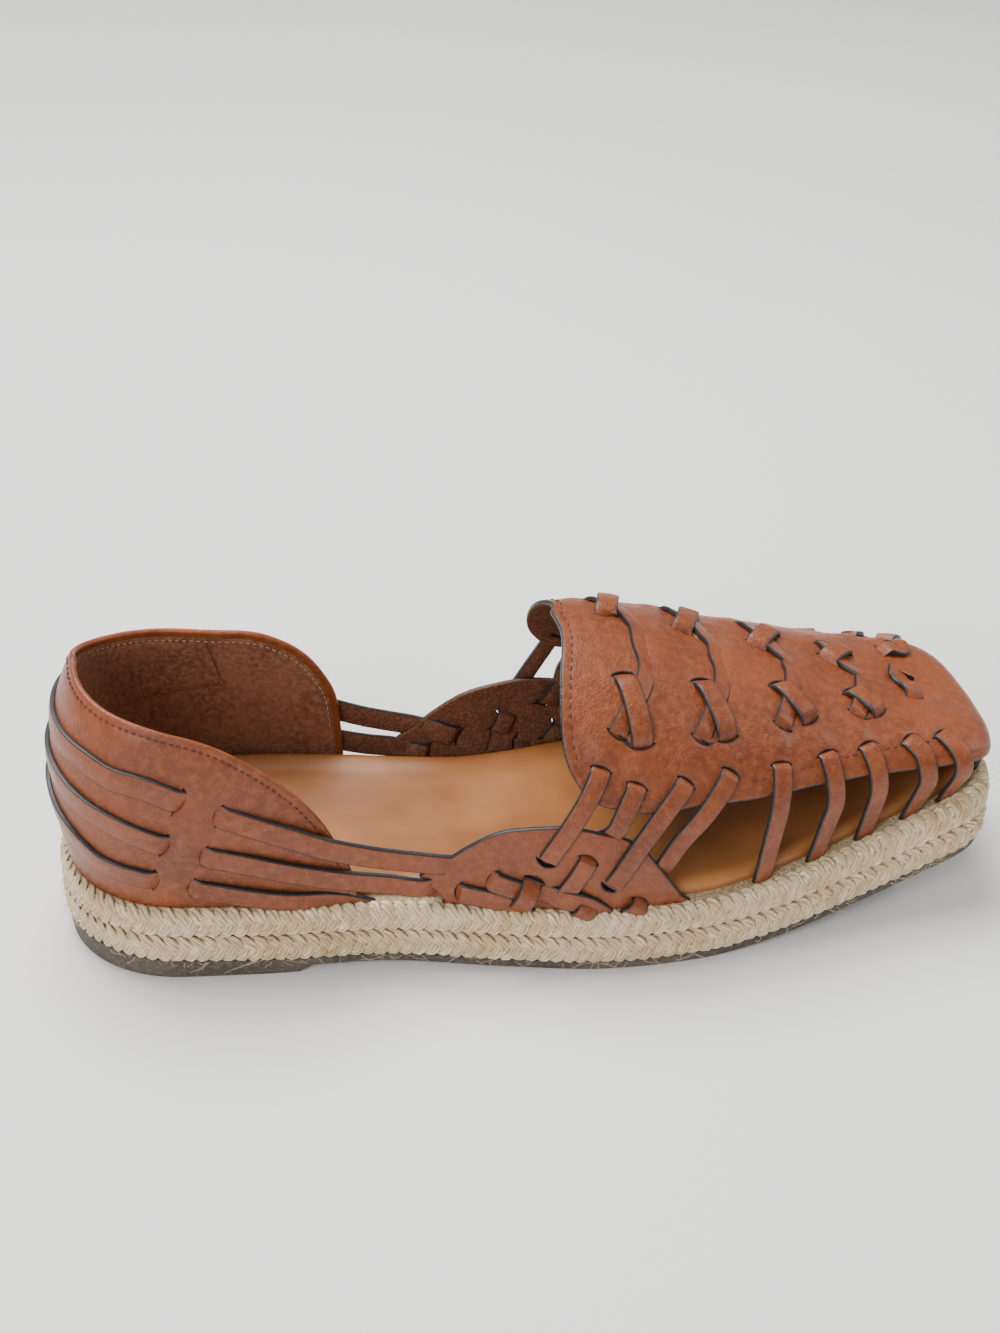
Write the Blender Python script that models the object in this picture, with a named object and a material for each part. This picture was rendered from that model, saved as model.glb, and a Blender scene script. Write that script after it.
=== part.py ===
# Woven leather flat on a two-layer jute sole, for the right foot.
# Metres. The toe points to +X, up is +Z, and the outer side of the foot is at -Y.
# The origin is the middle of the footprint, on the floor.
import bpy
import bmesh
import numpy as np
from mathutils import Vector
from mathutils.geometry import delaunay_2d_cdt

for old in list(bpy.data.objects):
    bpy.data.objects.remove(old, do_unlink=True)

# Driving dimensions
LENGTH = 0.264
BALL_WIDTH = 0.088
INSTEP_HEIGHT = 0.068
OUTSOLE_THICKNESS = 0.003
OUTSOLE_INSET = 0.0015
HEEL_LIFT = 0.0042
HEEL_LENGTH = 0.067
BREAST_SLOPE = 0.0015
TOE_SPRING = 0.019
BRAID_HEIGHT = 0.0087
BRAID_ROUND = 0.0022
FEATHER_INSET = 0.0032
TOE_FEATHER_INSET = 0.0048
INSOLE_THICKNESS = 0.005
INSOLE_ROUND = 0.0022
WALL = 0.0018
STRAP_WIDTH = 0.0055
SIDE_STRAP_WIDTH = 0.0066
HEEL_BAND_WIDTH = 0.0072
STRAP_RAISE = 0.0013
CLEARANCE = 0.0003

# How finely the shapes are cut up
SOLE_STATIONS = 38
BRAID_ROWS = 6
EDGE_STEP = 0.0055
GRID_STEP = 0.0095
GRID_ROW_SHARE = 0.87
GRID_MARGIN = 0.003
LINE_SAMPLES = 401
STRAP_SAMPLES = 80
INSOLE_ROWS = 4

# Plan of the braid's edge: share of the length, centre line and half width as shares of the ball width
PLAN = [
    # at, centre, half
    (0.00, 0.000, 0.381),
    (0.13, -0.006, 0.398),
    (0.22, -0.011, 0.405),
    (0.34, -0.018, 0.393),
    (0.46, -0.043, 0.425),
    (0.58, -0.030, 0.480),
    (0.66, 0.000, 0.498),
    (0.76, 0.039, 0.482),
    (0.86, 0.070, 0.427),
    (0.93, 0.080, 0.389),
    (1.00, 0.084, 0.366),
]
HEEL_ROUND_SHARE = 0.125
HEEL_ROUND_POWER = 2.15
TOE_ROUND_SHARE = 0.095
TOE_ROUND_POWER = 4.6
# where the feather line starts to draw in further for the toe, and where it has done so
TOE_DRAW_START = 0.70
TOE_DRAW_END = 0.95
# the toe's front edge is square to the forefoot, which points inwards: its slope, and where it starts
TOE_SLANT = 0.09
TOE_SLANT_START = 0.80

# Side profile under the braid: share of the length, share of the heel lift, share of the toe spring
PROFILE = [
    # at, heel, toe
    (0.00, 1.00, 0.00),
    (0.14, 0.76, 0.00),
    (0.28, 0.43, 0.00),
    (0.45, 0.14, 0.00),
    (0.56, 0.00, 0.00),
    (0.67, 0.00, 0.00),
    (0.76, 0.00, 0.12),
    (0.88, 0.00, 0.45),
    (1.00, 0.00, 1.00),
]

# Sections of the last, from the heel's back round to the toe's tip: place along the feather line,
# ridge as shares of length, ball width and instep height, the wall's lift as a share of the
# ridge's height, its lean as a share of the ball width, and the reach of the flat top
SECTIONS = [
    # at, ridge_x, ridge_y, ridge_z, lift, lean, reach
    (0.00, 0.140, 0.000, 1.26, 0.62, 0.136, 0.45),
    (0.10, 0.150, 0.000, 1.26, 0.62, 0.125, 0.50),
    (0.20, 0.190, -0.006, 1.24, 0.60, 0.102, 0.55),
    (0.30, 0.270, -0.006, 1.16, 0.60, 0.080, 0.60),
    (0.40, 0.370, 0.023, 1.07, 0.60, 0.057, 0.62),
    (0.50, 0.475, 0.080, 1.00, 0.62, 0.045, 0.66),
    (0.60, 0.585, 0.114, 0.93, 0.66, 0.045, 0.70),
    (0.70, 0.690, 0.119, 0.79, 0.72, 0.057, 0.74),
    (0.80, 0.790, 0.125, 0.62, 0.78, 0.080, 0.78),
    (0.90, 0.885, 0.125, 0.43, 0.88, 0.125, 0.84),
    (1.00, 0.945, 0.114, 0.28, 1.00, 0.136, 0.90),
]

# The upper's pattern. A point is (along, across): along runs from the heel's back (0) to the
# toe's tip (1) on the feather line, across from the outer feather line (-1) over the ridge (0)
# to the inner one (1). Rows are for the outer side, and the inner side mirrors them where no
# row is given for it.
UNDER_SOLE = -1.03

OUTER_RIM = [
    (0.00, -0.50), (0.05, -0.52), (0.10, -0.545), (0.15, -0.57), (0.20, -0.60),
    (0.24, -0.65), (0.27, -0.71), (0.29, -0.77), (0.305, -0.84), (0.318, -0.92), (0.325, UNDER_SOLE),
]
INNER_RIM = [
    (0.00, 0.50), (0.05, 0.56), (0.10, 0.60), (0.15, 0.615), (0.20, 0.615), (0.245, 0.61),
    (0.275, 0.635), (0.295, 0.675), (0.31, 0.73), (0.322, 0.80), (0.326, 0.90), (0.328, -UNDER_SOLE),
]
PLUG_EDGE = [
    (0.549, -0.06), (0.546, -0.12), (0.540, -0.18), (0.530, -0.28), (0.521, -0.40),
    (0.517, -0.50), (0.518, -0.57), (0.523, -0.62), (0.533, -0.67), (0.550, -0.70),
    (0.590, -0.72), (0.640, -0.70), (0.700, -0.69), (0.750, -0.68), (0.800, -0.68),
    (0.850, -0.69), (0.885, -0.70), (0.910, -0.74), (0.935, -0.80), (0.965, -0.84), (1.00, -0.85),
]
# how much higher the plug's inner edge stands at the throat, as a share, fading to none at the toe
PLUG_INNER_RISE = 0.20
WING = [
    (0.378, -0.930), (0.398, -0.890), (0.415, -0.850), (0.438, -0.805), (0.455, -0.782),
    (0.473, -0.770), (0.492, -0.762), (0.512, -0.757), (0.530, -0.765), (0.547, -0.778),
    (0.562, -0.790), (0.578, -0.820), (0.590, -0.865), (0.603, -0.920), (0.617, -0.980),
    (0.624, UNDER_SOLE), (0.410, UNDER_SOLE), (0.400, -0.990), (0.390, -0.960),
]

# Long slats, each from its slot in the plug down to the sole
SLATS = [
    [(0.549, -0.57), (0.535, -0.66), (0.517, -0.75), (0.496, -0.845), (0.485, -0.90), (0.475, -0.95),
     (0.462, UNDER_SOLE)],
    [(0.579, -0.62), (0.566, -0.70), (0.552, -0.78), (0.535, -0.83), (0.521, -0.90), (0.511, -0.945),
     (0.495, UNDER_SOLE)],
    [(0.625, -0.61), (0.601, -0.71), (0.577, -0.81), (0.555, -0.91), (0.541, -0.95), (0.517, UNDER_SOLE)],
    [(0.668, -0.575), (0.645, -0.69), (0.620, -0.79), (0.602, -0.87), (0.588, -0.95), (0.562, UNDER_SOLE)],
    [(0.716, -0.55), (0.712, -0.65), (0.708, -0.72), (0.703, -0.85), (0.696, UNDER_SOLE)],
    [(0.764, -0.52), (0.765, -0.65), (0.765, -0.76), (0.760, -0.88), (0.751, UNDER_SOLE)],
    [(0.808, -0.49), (0.810, -0.64), (0.809, -0.81), (0.803, UNDER_SOLE)],
    [(0.852, -0.46), (0.860, -0.60), (0.860, -0.75), (0.850, UNDER_SOLE)],
    [(0.890, -0.42), (0.894, -0.60), (0.893, -0.77), (0.887, UNDER_SOLE)],
]
TOE_SLATS = [
    [(0.938, -0.64), (0.935, UNDER_SOLE)],
    [(0.979, -0.70), (0.978, UNDER_SOLE)],
]

# Straps that run forward from the heel, weave through the wing and end in the sole
SIDE_STRAPS = [
    [(0.200, -0.765), (0.260, -0.810), (0.300, -0.845), (0.345, -0.872), (0.400, -0.890), (0.424, -0.900),
     (0.462, -0.938), (0.490, -0.955), (0.525, -0.973), (0.552, UNDER_SOLE)],
    [(0.185, -0.865), (0.230, -0.885), (0.273, -0.910), (0.318, -0.935), (0.370, -0.952), (0.406, -0.960),
     (0.425, -0.966), (0.455, -0.985), (0.482, UNDER_SOLE)],
    [(0.172, -0.945), (0.220, -0.965), (0.260, -0.980), (0.300, -0.992), (0.345, UNDER_SOLE)],
]

# Where one strap lies over another, as runs along a named strap: from share, to share
RAISED_RUNS = [
    # kind, strap, from, to
    ("slat", 0, 0.00, 0.60),
    ("slat", 0, 0.70, 0.94),
    ("slat", 1, 0.00, 0.30),
    ("slat", 1, 0.52, 0.80),
    ("slat", 2, 0.00, 0.72),
    ("slat", 2, 0.83, 0.95),
    ("slat", 3, 0.00, 0.28),
    ("slat", 3, 0.82, 0.95),
    ("slat", 4, 0.00, 0.32),
    ("slat", 5, 0.00, 0.35),
    ("slat", 6, 0.00, 0.40),
    ("slat", 7, 0.00, 0.44),
    ("slat", 8, 0.00, 0.50),
    ("side", 0, 0.00, 0.36),
    ("side", 0, 0.62, 0.76),
    ("side", 0, 0.81, 0.93),
    ("side", 1, 0.00, 0.44),
    ("side", 1, 0.68, 0.75),
    ("side", 1, 0.81, 0.95),
    ("side", 2, 0.00, 0.66),
]

# Bands laced round the back of the counter, each up to its slot
HEEL_BANDS = [
    [(0.000, -0.670), (0.075, -0.680), (0.110, -0.700), (0.140, -0.710), (0.173, -0.740)],
    [(0.000, -0.765), (0.040, -0.770), (0.077, -0.790), (0.110, -0.810), (0.138, -0.830), (0.159, -0.845)],
    [(0.000, -0.845), (0.050, -0.875), (0.077, -0.900), (0.100, -0.920), (0.148, -0.932)],
]

# Lacing stations on the plug. A crossing band goes from a tucked end on the outer side, over the
# middle, to one on the inner side, and a strap is laid over each of its legs. Places along the
# plug are the outer side's, and the inner side's lie further forward by the skew.
LACING = [
    # slit, over, over_end, tuck, skew, middle, half_slit, over_from, over_to, tuck_to
    (0.610, 0.588, 0.588, 0.564, 0.014, -0.130, 0.130, 0.115, 0.390, 0.355),
    (0.690, 0.666, 0.671, 0.640, 0.016, -0.110, 0.110, 0.105, 0.365, 0.375),
    (0.775, 0.750, 0.764, 0.727, 0.013, -0.090, 0.070, 0.090, 0.300, 0.330),
    (0.860, 0.832, 0.847, 0.815, 0.012, -0.080, 0.040, 0.085, 0.240, 0.265),
]
# how far forward of its two slit ends a crossing band bows in the middle
BAND_BOW = 0.003
# short loops of strap near the toe, outer and inner
TOE_LOOPS = [
    [(0.950, 0.065), (0.912, -0.180)],
    [(0.893, 0.215), (0.912, 0.290), (0.895, 0.405)],
]

# The flat pattern's size: the feather line's length, and half the way over the ridge
CHART = Vector((0.300, 0.085))
WELD = 0.00001
SEAM_WELD = 0.0003
PATTERN_WELD = 0.0002
PROBE = 0.002
PAST_SEAM = -0.02


def smooth(rows, at, column):
    """Read a table's column at a place, with a smooth curve through its rows. A level run stays level."""
    table = np.array(rows)
    places = table[:, 0]
    values = table[:, column]
    slopes = np.gradient(values, places)
    level = np.diff(values) == 0
    slopes[:-1][level] = 0
    slopes[1:][level] = 0
    at = np.clip(at, places[0], places[-1])
    row = np.clip(np.searchsorted(places, at, side="right") - 1, 0, len(places) - 2)
    span = places[row + 1] - places[row]
    t = (at - places[row]) / span
    start = (2 * t**3 - 3 * t**2 + 1) * values[row] + (t**3 - 2 * t**2 + t) * span * slopes[row]
    end = (3 * t**2 - 2 * t**3) * values[row + 1] + (t**3 - t**2) * span * slopes[row + 1]
    return start + end


def braid_bottom(x):
    """Height of the braid's underside at a place along the shoe."""
    share = x / LENGTH
    lift = HEEL_LIFT * smooth(PROFILE, share, 1) + TOE_SPRING * smooth(PROFILE, share, 2)
    return OUTSOLE_THICKNESS + lift


def braid_top(x):
    return braid_bottom(x) + 2 * BRAID_HEIGHT


def outline(side, inset, toe_inset, stations):
    """One side of the sole's plan, from heel to toe, drawn in from the braid's edge."""
    x = inset + (LENGTH - inset - toe_inset) * stations
    blend = np.clip((stations - TOE_DRAW_START) / (TOE_DRAW_END - TOE_DRAW_START), 0, 1)
    half = BALL_WIDTH * smooth(PLAN, stations, 2) - inset - (toe_inset - inset) * blend
    heel = np.clip(1 - stations / HEEL_ROUND_SHARE, 0, 1)
    toe = np.clip((stations - 1 + TOE_ROUND_SHARE) / TOE_ROUND_SHARE, 0, 1)
    half = half * (1 - heel**HEEL_ROUND_POWER) ** (1 / HEEL_ROUND_POWER)
    half = half * (1 - toe**TOE_ROUND_POWER) ** (1 / TOE_ROUND_POWER)
    slant = TOE_SLANT * np.clip((stations - TOE_SLANT_START) / (1 - TOE_SLANT_START), 0, 1)
    return np.stack([x - side * half * slant, BALL_WIDTH * smooth(PLAN, stations, 1) + side * half], axis=-1)


def even_stations(count):
    """Places along the length, closer together at heel and toe."""
    return (1 - np.cos(np.linspace(0, np.pi, count))) / 2


FEATHER = {}
for side in (-1, 1):
    line = outline(side, FEATHER_INSET, TOE_FEATHER_INSET, even_stations(LINE_SAMPLES))
    steps = np.hypot(*np.diff(line, axis=0).T)
    FEATHER[side] = (np.concatenate([[0], np.cumsum(steps)]) / steps.sum(), line)


def feather(side, along):
    shares, line = FEATHER[side]
    return np.stack([np.interp(along, shares, line[:, 0]), np.interp(along, shares, line[:, 1])], axis=-1)


def ridge(along):
    x = LENGTH * smooth(SECTIONS, along, 1)
    y = BALL_WIDTH * smooth(SECTIONS, along, 2)
    return np.stack([x, y, braid_top(x) + INSTEP_HEIGHT * smooth(SECTIONS, along, 3)], axis=-1)


def last(along, across):
    """The last's surface: a wall rises from the feather line and rolls over to the ridge."""
    along, across = np.broadcast_arrays(np.clip(along, 0, 1), np.asarray(across, float))
    outer = (across < 0)[..., None]
    foot = np.where(outer, feather(-1, along), feather(1, along))
    near = np.clip(along - PROBE, 0, 1)
    far = np.clip(along + PROBE, 0, 1)
    run = np.where(outer, feather(-1, far) - feather(-1, near), feather(1, near) - feather(1, far))
    run = run / np.linalg.norm(run, axis=-1, keepdims=True)
    outward = np.stack([run[..., 1], -run[..., 0]], axis=-1)
    foot_z = braid_top(foot[..., 0])
    top = ridge(along)
    climb = ridge(far) - ridge(near)
    slope = climb[..., 2] / np.maximum(climb[..., 0], WELD)
    lift = smooth(SECTIONS, along, 4) * (top[..., 2] - foot_z)
    lean = smooth(SECTIONS, along, 5) * BALL_WIDTH
    reach = smooth(SECTIONS, along, 6)
    bottom = np.stack([foot[..., 0], foot[..., 1], foot_z], axis=-1)
    wall = bottom + np.stack([outward[..., 0] * lean, outward[..., 1] * lean, lift], axis=-1)
    back_x = reach * (foot[..., 0] - top[..., 0])
    back_y = reach * (foot[..., 1] - top[..., 1])
    shoulder = top + np.stack([back_x, back_y, slope * back_x], axis=-1)
    t = (1 - np.abs(across))[..., None]
    return (1 - t)**3 * bottom + 3 * (1 - t)**2 * t * wall + 3 * (1 - t) * t**2 * shoulder + t**3 * top


def centre_line(points):
    """Even points, a few millimetres apart, on a smooth curve through a strap's centre line."""
    rows = np.column_stack([np.linspace(0, 1, len(points)), points])
    fine = np.linspace(0, 1, STRAP_SAMPLES)
    line = np.column_stack([smooth(rows, fine, 1), smooth(rows, fine, 2)])
    lengths = np.linalg.norm(np.diff(last(line[:, 0], line[:, 1]), axis=0), axis=1)
    travelled = np.concatenate([[0], np.cumsum(lengths)]) / lengths.sum()
    even = np.linspace(0, 1, max(3, round(lengths.sum() / EDGE_STEP) + 1))
    return np.column_stack([np.interp(even, travelled, line[:, 0]), np.interp(even, travelled, line[:, 1])])


def ribbon(points, start=0.0, end=1.0, width=STRAP_WIDTH):
    """Outline, in the pattern, of a strap of true width along a run of its centre line."""
    centre = centre_line(points)
    heading = np.gradient(centre, axis=0)
    held = np.clip(centre, (PROBE, PROBE - 1), (1 - PROBE, 1 - PROBE))
    along = last(held[:, 0] + PROBE, held[:, 1]) - last(held[:, 0] - PROBE, held[:, 1])
    across = last(held[:, 0], held[:, 1] + PROBE) - last(held[:, 0], held[:, 1] - PROBE)
    along /= 2 * PROBE
    across /= 2 * PROBE
    g_ss = (along * along).sum(1)
    g_sv = (along * across).sum(1)
    g_vv = (across * across).sum(1)
    # the pattern's direction that is square to the strap on the last
    normal_s = -(g_sv * heading[:, 0] + g_vv * heading[:, 1])
    normal_v = g_ss * heading[:, 0] + g_sv * heading[:, 1]
    size = np.sqrt(g_ss * normal_s**2 + 2 * g_sv * normal_s * normal_v + g_vv * normal_v**2)
    offset = np.column_stack([normal_s, normal_v]) * (width / 2 / size)[:, None]
    final = len(centre) - 1
    first = round(start * final)
    stop = max(first + 1, round(end * final)) + 1
    left = (centre + offset)[first:stop]
    right = (centre - offset)[first:stop]
    return np.vstack([left, right[::-1]])


def mirrored(points, middle=0.0):
    return [(s, 2 * middle - v) for s, v in points]


def both_sides(points):
    return [list(points), mirrored(points)]


def mesh_object(name, bm, color, roughness):
    """Make an object of its own from a finished mesh, with its own material."""
    bmesh.ops.recalc_face_normals(bm, faces=bm.faces)
    mesh = bpy.data.meshes.new(name)
    bm.to_mesh(mesh)
    bm.free()
    material = bpy.data.materials.new(name)
    material.use_nodes = True
    shader = material.node_tree.nodes["Principled BSDF"]
    shader.inputs["Base Color"].default_value = (*color, 1.0)
    shader.inputs["Roughness"].default_value = roughness
    shader.inputs["Metallic"].default_value = 0.0
    mesh.materials.append(material)
    obj = bpy.data.objects.new(name, mesh)
    SHOE.objects.link(obj)
    return obj


def sole_layer(name, rows, stations, color, roughness):
    """A layer of the sole: rings of its outline, bottom to top, closed across by straight ladders."""
    bm = bmesh.new()
    rings = []
    for inset, toe_inset, height in rows:
        outer = outline(-1, inset, toe_inset, stations)
        inner = outline(1, inset, toe_inset, stations)
        ring = np.vstack([outer, inner[-2:0:-1]])
        rings.append([bm.verts.new((x, y, height(x))) for x, y in ring])
    count = len(rings[0])
    for lower, upper in zip(rings, rings[1:]):
        for i in range(count):
            j = (i + 1) % count
            bm.faces.new((lower[i], lower[j], upper[j], upper[i]))
    for ring, outward in ((rings[0], -1), (rings[-1], 1)):
        for i in range(len(stations) - 1):
            corners = [ring[i], ring[i + 1], ring[-i - 1], ring[-i]]
            corners = list(dict.fromkeys(corners))
            bm.faces.new(corners[::outward])
    return mesh_object(name, bm, color, roughness)


def outsole_stations():
    """The sole's stations, with a close pair at the heel's breast."""
    breast = (HEEL_LENGTH - OUTSOLE_INSET) / (LENGTH - 2 * OUTSOLE_INSET)
    slope = BREAST_SLOPE / LENGTH
    even = even_stations(SOLE_STATIONS)
    kept = even[np.abs(even - breast) > 2 * slope]
    return np.sort(np.concatenate([kept, [breast, breast + slope]]))


def outsole_bottom(x):
    return np.where(x <= HEEL_LENGTH + WELD, 0, braid_bottom(x) - OUTSOLE_THICKNESS)


def build_outsole():
    """Rubber sheet with the heel block moulded in one piece."""
    rows = [
        (OUTSOLE_INSET, OUTSOLE_INSET, outsole_bottom),
        (OUTSOLE_INSET, OUTSOLE_INSET, lambda x: braid_bottom(x) - CLEARANCE),
    ]
    return sole_layer("outsole", rows, outsole_stations(), (0.17, 0.14, 0.115), 0.75)


def build_braid(name, bottom):
    """One jute layer, its side rounded by the thick plait."""
    rows = []
    for turn in np.linspace(-np.pi / 2, np.pi / 2, BRAID_ROWS):
        inset = BRAID_ROUND * (1 - np.cos(turn))
        share = (1 + np.sin(turn)) / 2
        rise = bottom + share * (BRAID_HEIGHT - CLEARANCE)
        rows.append((inset, inset, lambda x, rise=rise: braid_bottom(x) + rise))
    return sole_layer(name, rows, even_stations(SOLE_STATIONS), (0.60, 0.47, 0.32), 0.95)


def build_insole():
    """Leather-wrapped footbed inside the upper's wall, with a rounded top edge."""
    inset = FEATHER_INSET + WALL + CLEARANCE
    toe_inset = TOE_FEATHER_INSET + WALL + CLEARANCE
    rows = []
    for turn in np.linspace(0, np.pi / 2, INSOLE_ROWS):
        draw = INSOLE_ROUND * (1 - np.cos(turn))
        rise = INSOLE_THICKNESS - INSOLE_ROUND * (1 - np.sin(turn))
        rows.append((inset + draw, toe_inset + draw, lambda x, rise=rise: braid_top(x) + rise))
    rows.insert(0, (inset, toe_inset, braid_top))
    return sole_layer("insole", rows, even_stations(SOLE_STATIONS), (0.52, 0.21, 0.055), 0.5)


def leather_outlines():
    """Every piece of leather in the pattern, as closed outlines."""
    pieces = [[(0, UNDER_SOLE)] + OUTER_RIM, [(0, -UNDER_SOLE)] + INNER_RIM] + both_sides(WING)
    inner_edge = [(s, -v * (1 - PLUG_INNER_RISE * (1 - s))) for s, v in PLUG_EDGE]
    pieces.append(PLUG_EDGE + inner_edge[::-1])
    for straps, width in ((SLATS + TOE_SLATS, STRAP_WIDTH), (SIDE_STRAPS, SIDE_STRAP_WIDTH)):
        for strap in straps:
            for points in both_sides(strap):
                pieces.append(ribbon(points, width=width))
    return pieces


def lacing_strips():
    """Centre lines of the crossing bands and of the straps laid over them, on the plug."""
    strips = list(TOE_LOOPS)
    for slit, over, over_end, tuck, skew, middle, half_slit, over_from, over_to, tuck_to in LACING:
        strips.append([
            (tuck, middle - tuck_to), (slit, middle - half_slit), (slit + skew / 2 + BAND_BOW, middle),
            (slit + skew, middle + half_slit), (tuck + skew, middle + tuck_to),
        ])
        strips.append([(over, middle - over_from), (over_end, middle - over_to)])
        strips.append([(over + skew, middle + over_from), (over_end + skew, middle + over_to)])
    return strips


def raised_outlines():
    """The stretches where a strap lies over another piece."""
    straps = {"slat": (SLATS, STRAP_WIDTH), "side": (SIDE_STRAPS, SIDE_STRAP_WIDTH)}
    pieces = []
    for kind, number, start, end in RAISED_RUNS:
        lines, width = straps[kind]
        for points in both_sides(lines[number]):
            pieces.append(ribbon(points, start, end, width))
    for strip in lacing_strips():
        pieces.append(ribbon(strip))
    for band in HEEL_BANDS:
        # drawn a little past the back seam, so that both halves meet there
        for points in both_sides([(PAST_SEAM, band[0][1])] + band):
            pieces.append(ribbon(points, width=HEEL_BAND_WIDTH))
    return pieces


def cut_finely(points, step):
    """Turn an outline anticlockwise in the flat pattern, and add points along its edges."""
    flat = np.array([(s * CHART.x, v * CHART.y) for s, v in points])
    following = np.roll(flat, -1, axis=0)
    turn = (flat[:, 0] * following[:, 1] - following[:, 0] * flat[:, 1]).sum()
    if turn < 0:
        flat = flat[::-1]
    fine = []
    for start, end in zip(flat, np.roll(flat, -1, axis=0)):
        count = max(1, int(np.ceil(np.linalg.norm(end - start) / step)))
        for share in np.arange(count) / count:
            fine.append(start + (end - start) * share)
    return fine


def distance_to_edges(points, edges):
    """Shortest distance from each flat point to any of the pattern's edges."""
    starts = edges[:, 0]
    runs = edges[:, 1] - starts
    square = np.maximum((runs**2).sum(1), WELD**2)
    nearest = np.full(len(points), 1.0)
    for index, point in enumerate(points):
        share = np.clip(((point - starts) * runs).sum(1) / square, 0, 1)
        nearest[index] = np.sqrt(((starts + runs * share[:, None] - point)**2).sum(1)).min()
    return nearest


def flat_pattern():
    """Lay every outline on the flat pattern, and mark its faces as leather or as a strap over it."""
    sheet = [(0, -1), (1, -1), (1, 1), (0, 1)]
    groups = [("sheet", [sheet]), ("leather", leather_outlines()), ("over", raised_outlines())]
    points = []
    faces = []
    kinds = []
    for kind, pieces in groups:
        for piece in pieces:
            fine = cut_finely(piece, EDGE_STEP)
            faces.append(list(range(len(points), len(points) + len(fine))))
            kinds.append(kind)
            points.extend(fine)
    edges = []
    for face in faces:
        for i, j in zip(face, face[1:] + face[:1]):
            edges.append((points[i], points[j]))
    edges = np.array(edges)
    columns = np.arange(GRID_STEP / 2, CHART.x, GRID_STEP)
    rows = np.arange(-CHART.y + GRID_STEP / 2, CHART.y, GRID_STEP * GRID_ROW_SHARE)
    grid = []
    for number, row in enumerate(rows):
        for column in columns + (number % 2) * GRID_STEP / 2:
            grid.append((column, row))
    grid = np.array(grid)
    grid = grid[distance_to_edges(grid, edges) > GRID_MARGIN]
    points.extend(grid)
    result = delaunay_2d_cdt([Vector(point) for point in points], [], faces, 0, PATTERN_WELD)
    flat, triangles, owners = result[0], result[2], result[5]
    marks = []
    for owner in owners:
        marks.append({kinds[index] for index in owner})
    return flat, triangles, marks


def close_pinches(triangles, chosen, allowed):
    """Where chosen faces meet in a single point, choose the faces round it too."""
    around = {}
    for index, triangle in enumerate(triangles):
        for corner in triangle:
            around.setdefault(corner, []).append(index)
    changed = True
    while changed:
        changed = False
        for corner, fan in around.items():
            inside = [index for index in fan if index in chosen]
            missing = [index for index in fan if index in allowed and index not in chosen]
            if not missing or len(inside) < 2:
                continue
            reached = {inside[0]}
            frontier = [inside[0]]
            while frontier:
                here = frontier.pop()
                for other in inside:
                    shared = set(triangles[here]) & set(triangles[other])
                    if other not in reached and len(shared) == 2:
                        reached.add(other)
                        frontier.append(other)
            if len(reached) < len(inside):
                chosen.update(missing)
                changed = True
    return chosen


def build_upper():
    """Cut the pattern, draw it over the last, give it its thickness and lay the straps over."""
    flat, triangles, marks = flat_pattern()
    on_sheet = {i for i, mark in enumerate(marks) if "sheet" in mark}
    leather = close_pinches(triangles, {i for i in on_sheet if "leather" in marks[i]}, on_sheet)
    over = close_pinches(triangles, {i for i in leather if "over" in marks[i]}, leather)
    along = np.array([point.x / CHART.x for point in flat])
    across = np.array([point.y / CHART.y for point in flat])
    places = last(along, np.clip(across, -1, 1))
    bm = bmesh.new()
    lies_over = bm.faces.layers.int.new("lies_over")
    used = sorted({corner for index in leather for corner in triangles[index]})
    verts = {corner: bm.verts.new(places[corner]) for corner in used}
    for index in leather:
        face = bm.faces.new([verts[corner] for corner in triangles[index]])
        face[lies_over] = index in over
    seam = [verts[corner] for corner in used if not WELD < along[corner] < 1 - WELD]
    bmesh.ops.remove_doubles(bm, verts=seam, dist=SEAM_WELD)
    bmesh.ops.recalc_face_normals(bm, faces=bm.faces)
    bm.normal_update()
    outward = {tuple(vert.co): vert.normal.copy() for vert in bm.verts}
    lifted = [face for face in bm.faces if face[lies_over]]
    lining = bmesh.ops.extrude_face_region(bm, geom=bm.faces[:])["geom"]
    for item in lining:
        if isinstance(item, bmesh.types.BMVert):
            item.co -= outward[tuple(item.co)] * WALL
    # with its edges given too, the faces that are lifted leave nothing under them
    edges = list({edge for face in lifted for edge in face.edges})
    tops = bmesh.ops.extrude_face_region(bm, geom=lifted + edges)["geom"]
    for item in tops:
        if isinstance(item, bmesh.types.BMVert):
            item.co += outward[tuple(item.co)] * STRAP_RAISE
    for vert in bm.verts:
        vert.co.z = max(vert.co.z, braid_top(vert.co.x))
    return mesh_object("upper", bm, (0.36, 0.115, 0.045), 0.42)


def stand_on_origin():
    """Move the pieces so that the middle of their footprint is the origin."""
    corners = np.array([vert.co for obj in SHOE.objects for vert in obj.data.vertices])
    middle = (corners.min(axis=0) + corners.max(axis=0)) / 2
    for obj in SHOE.objects:
        obj.location = (-middle[0], -middle[1], 0)


SHOE = bpy.data.collections.new("woven_leather_flat")
bpy.context.scene.collection.children.link(SHOE)
build_outsole()
build_braid("lower_braid", 0.0)
build_braid("upper_braid", BRAID_HEIGHT)
build_insole()
build_upper()
stand_on_origin()
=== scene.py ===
import bpy
import numpy as np
from mathutils import Matrix, Vector, kdtree
from mathutils.geometry import delaunay_2d_cdt


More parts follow.
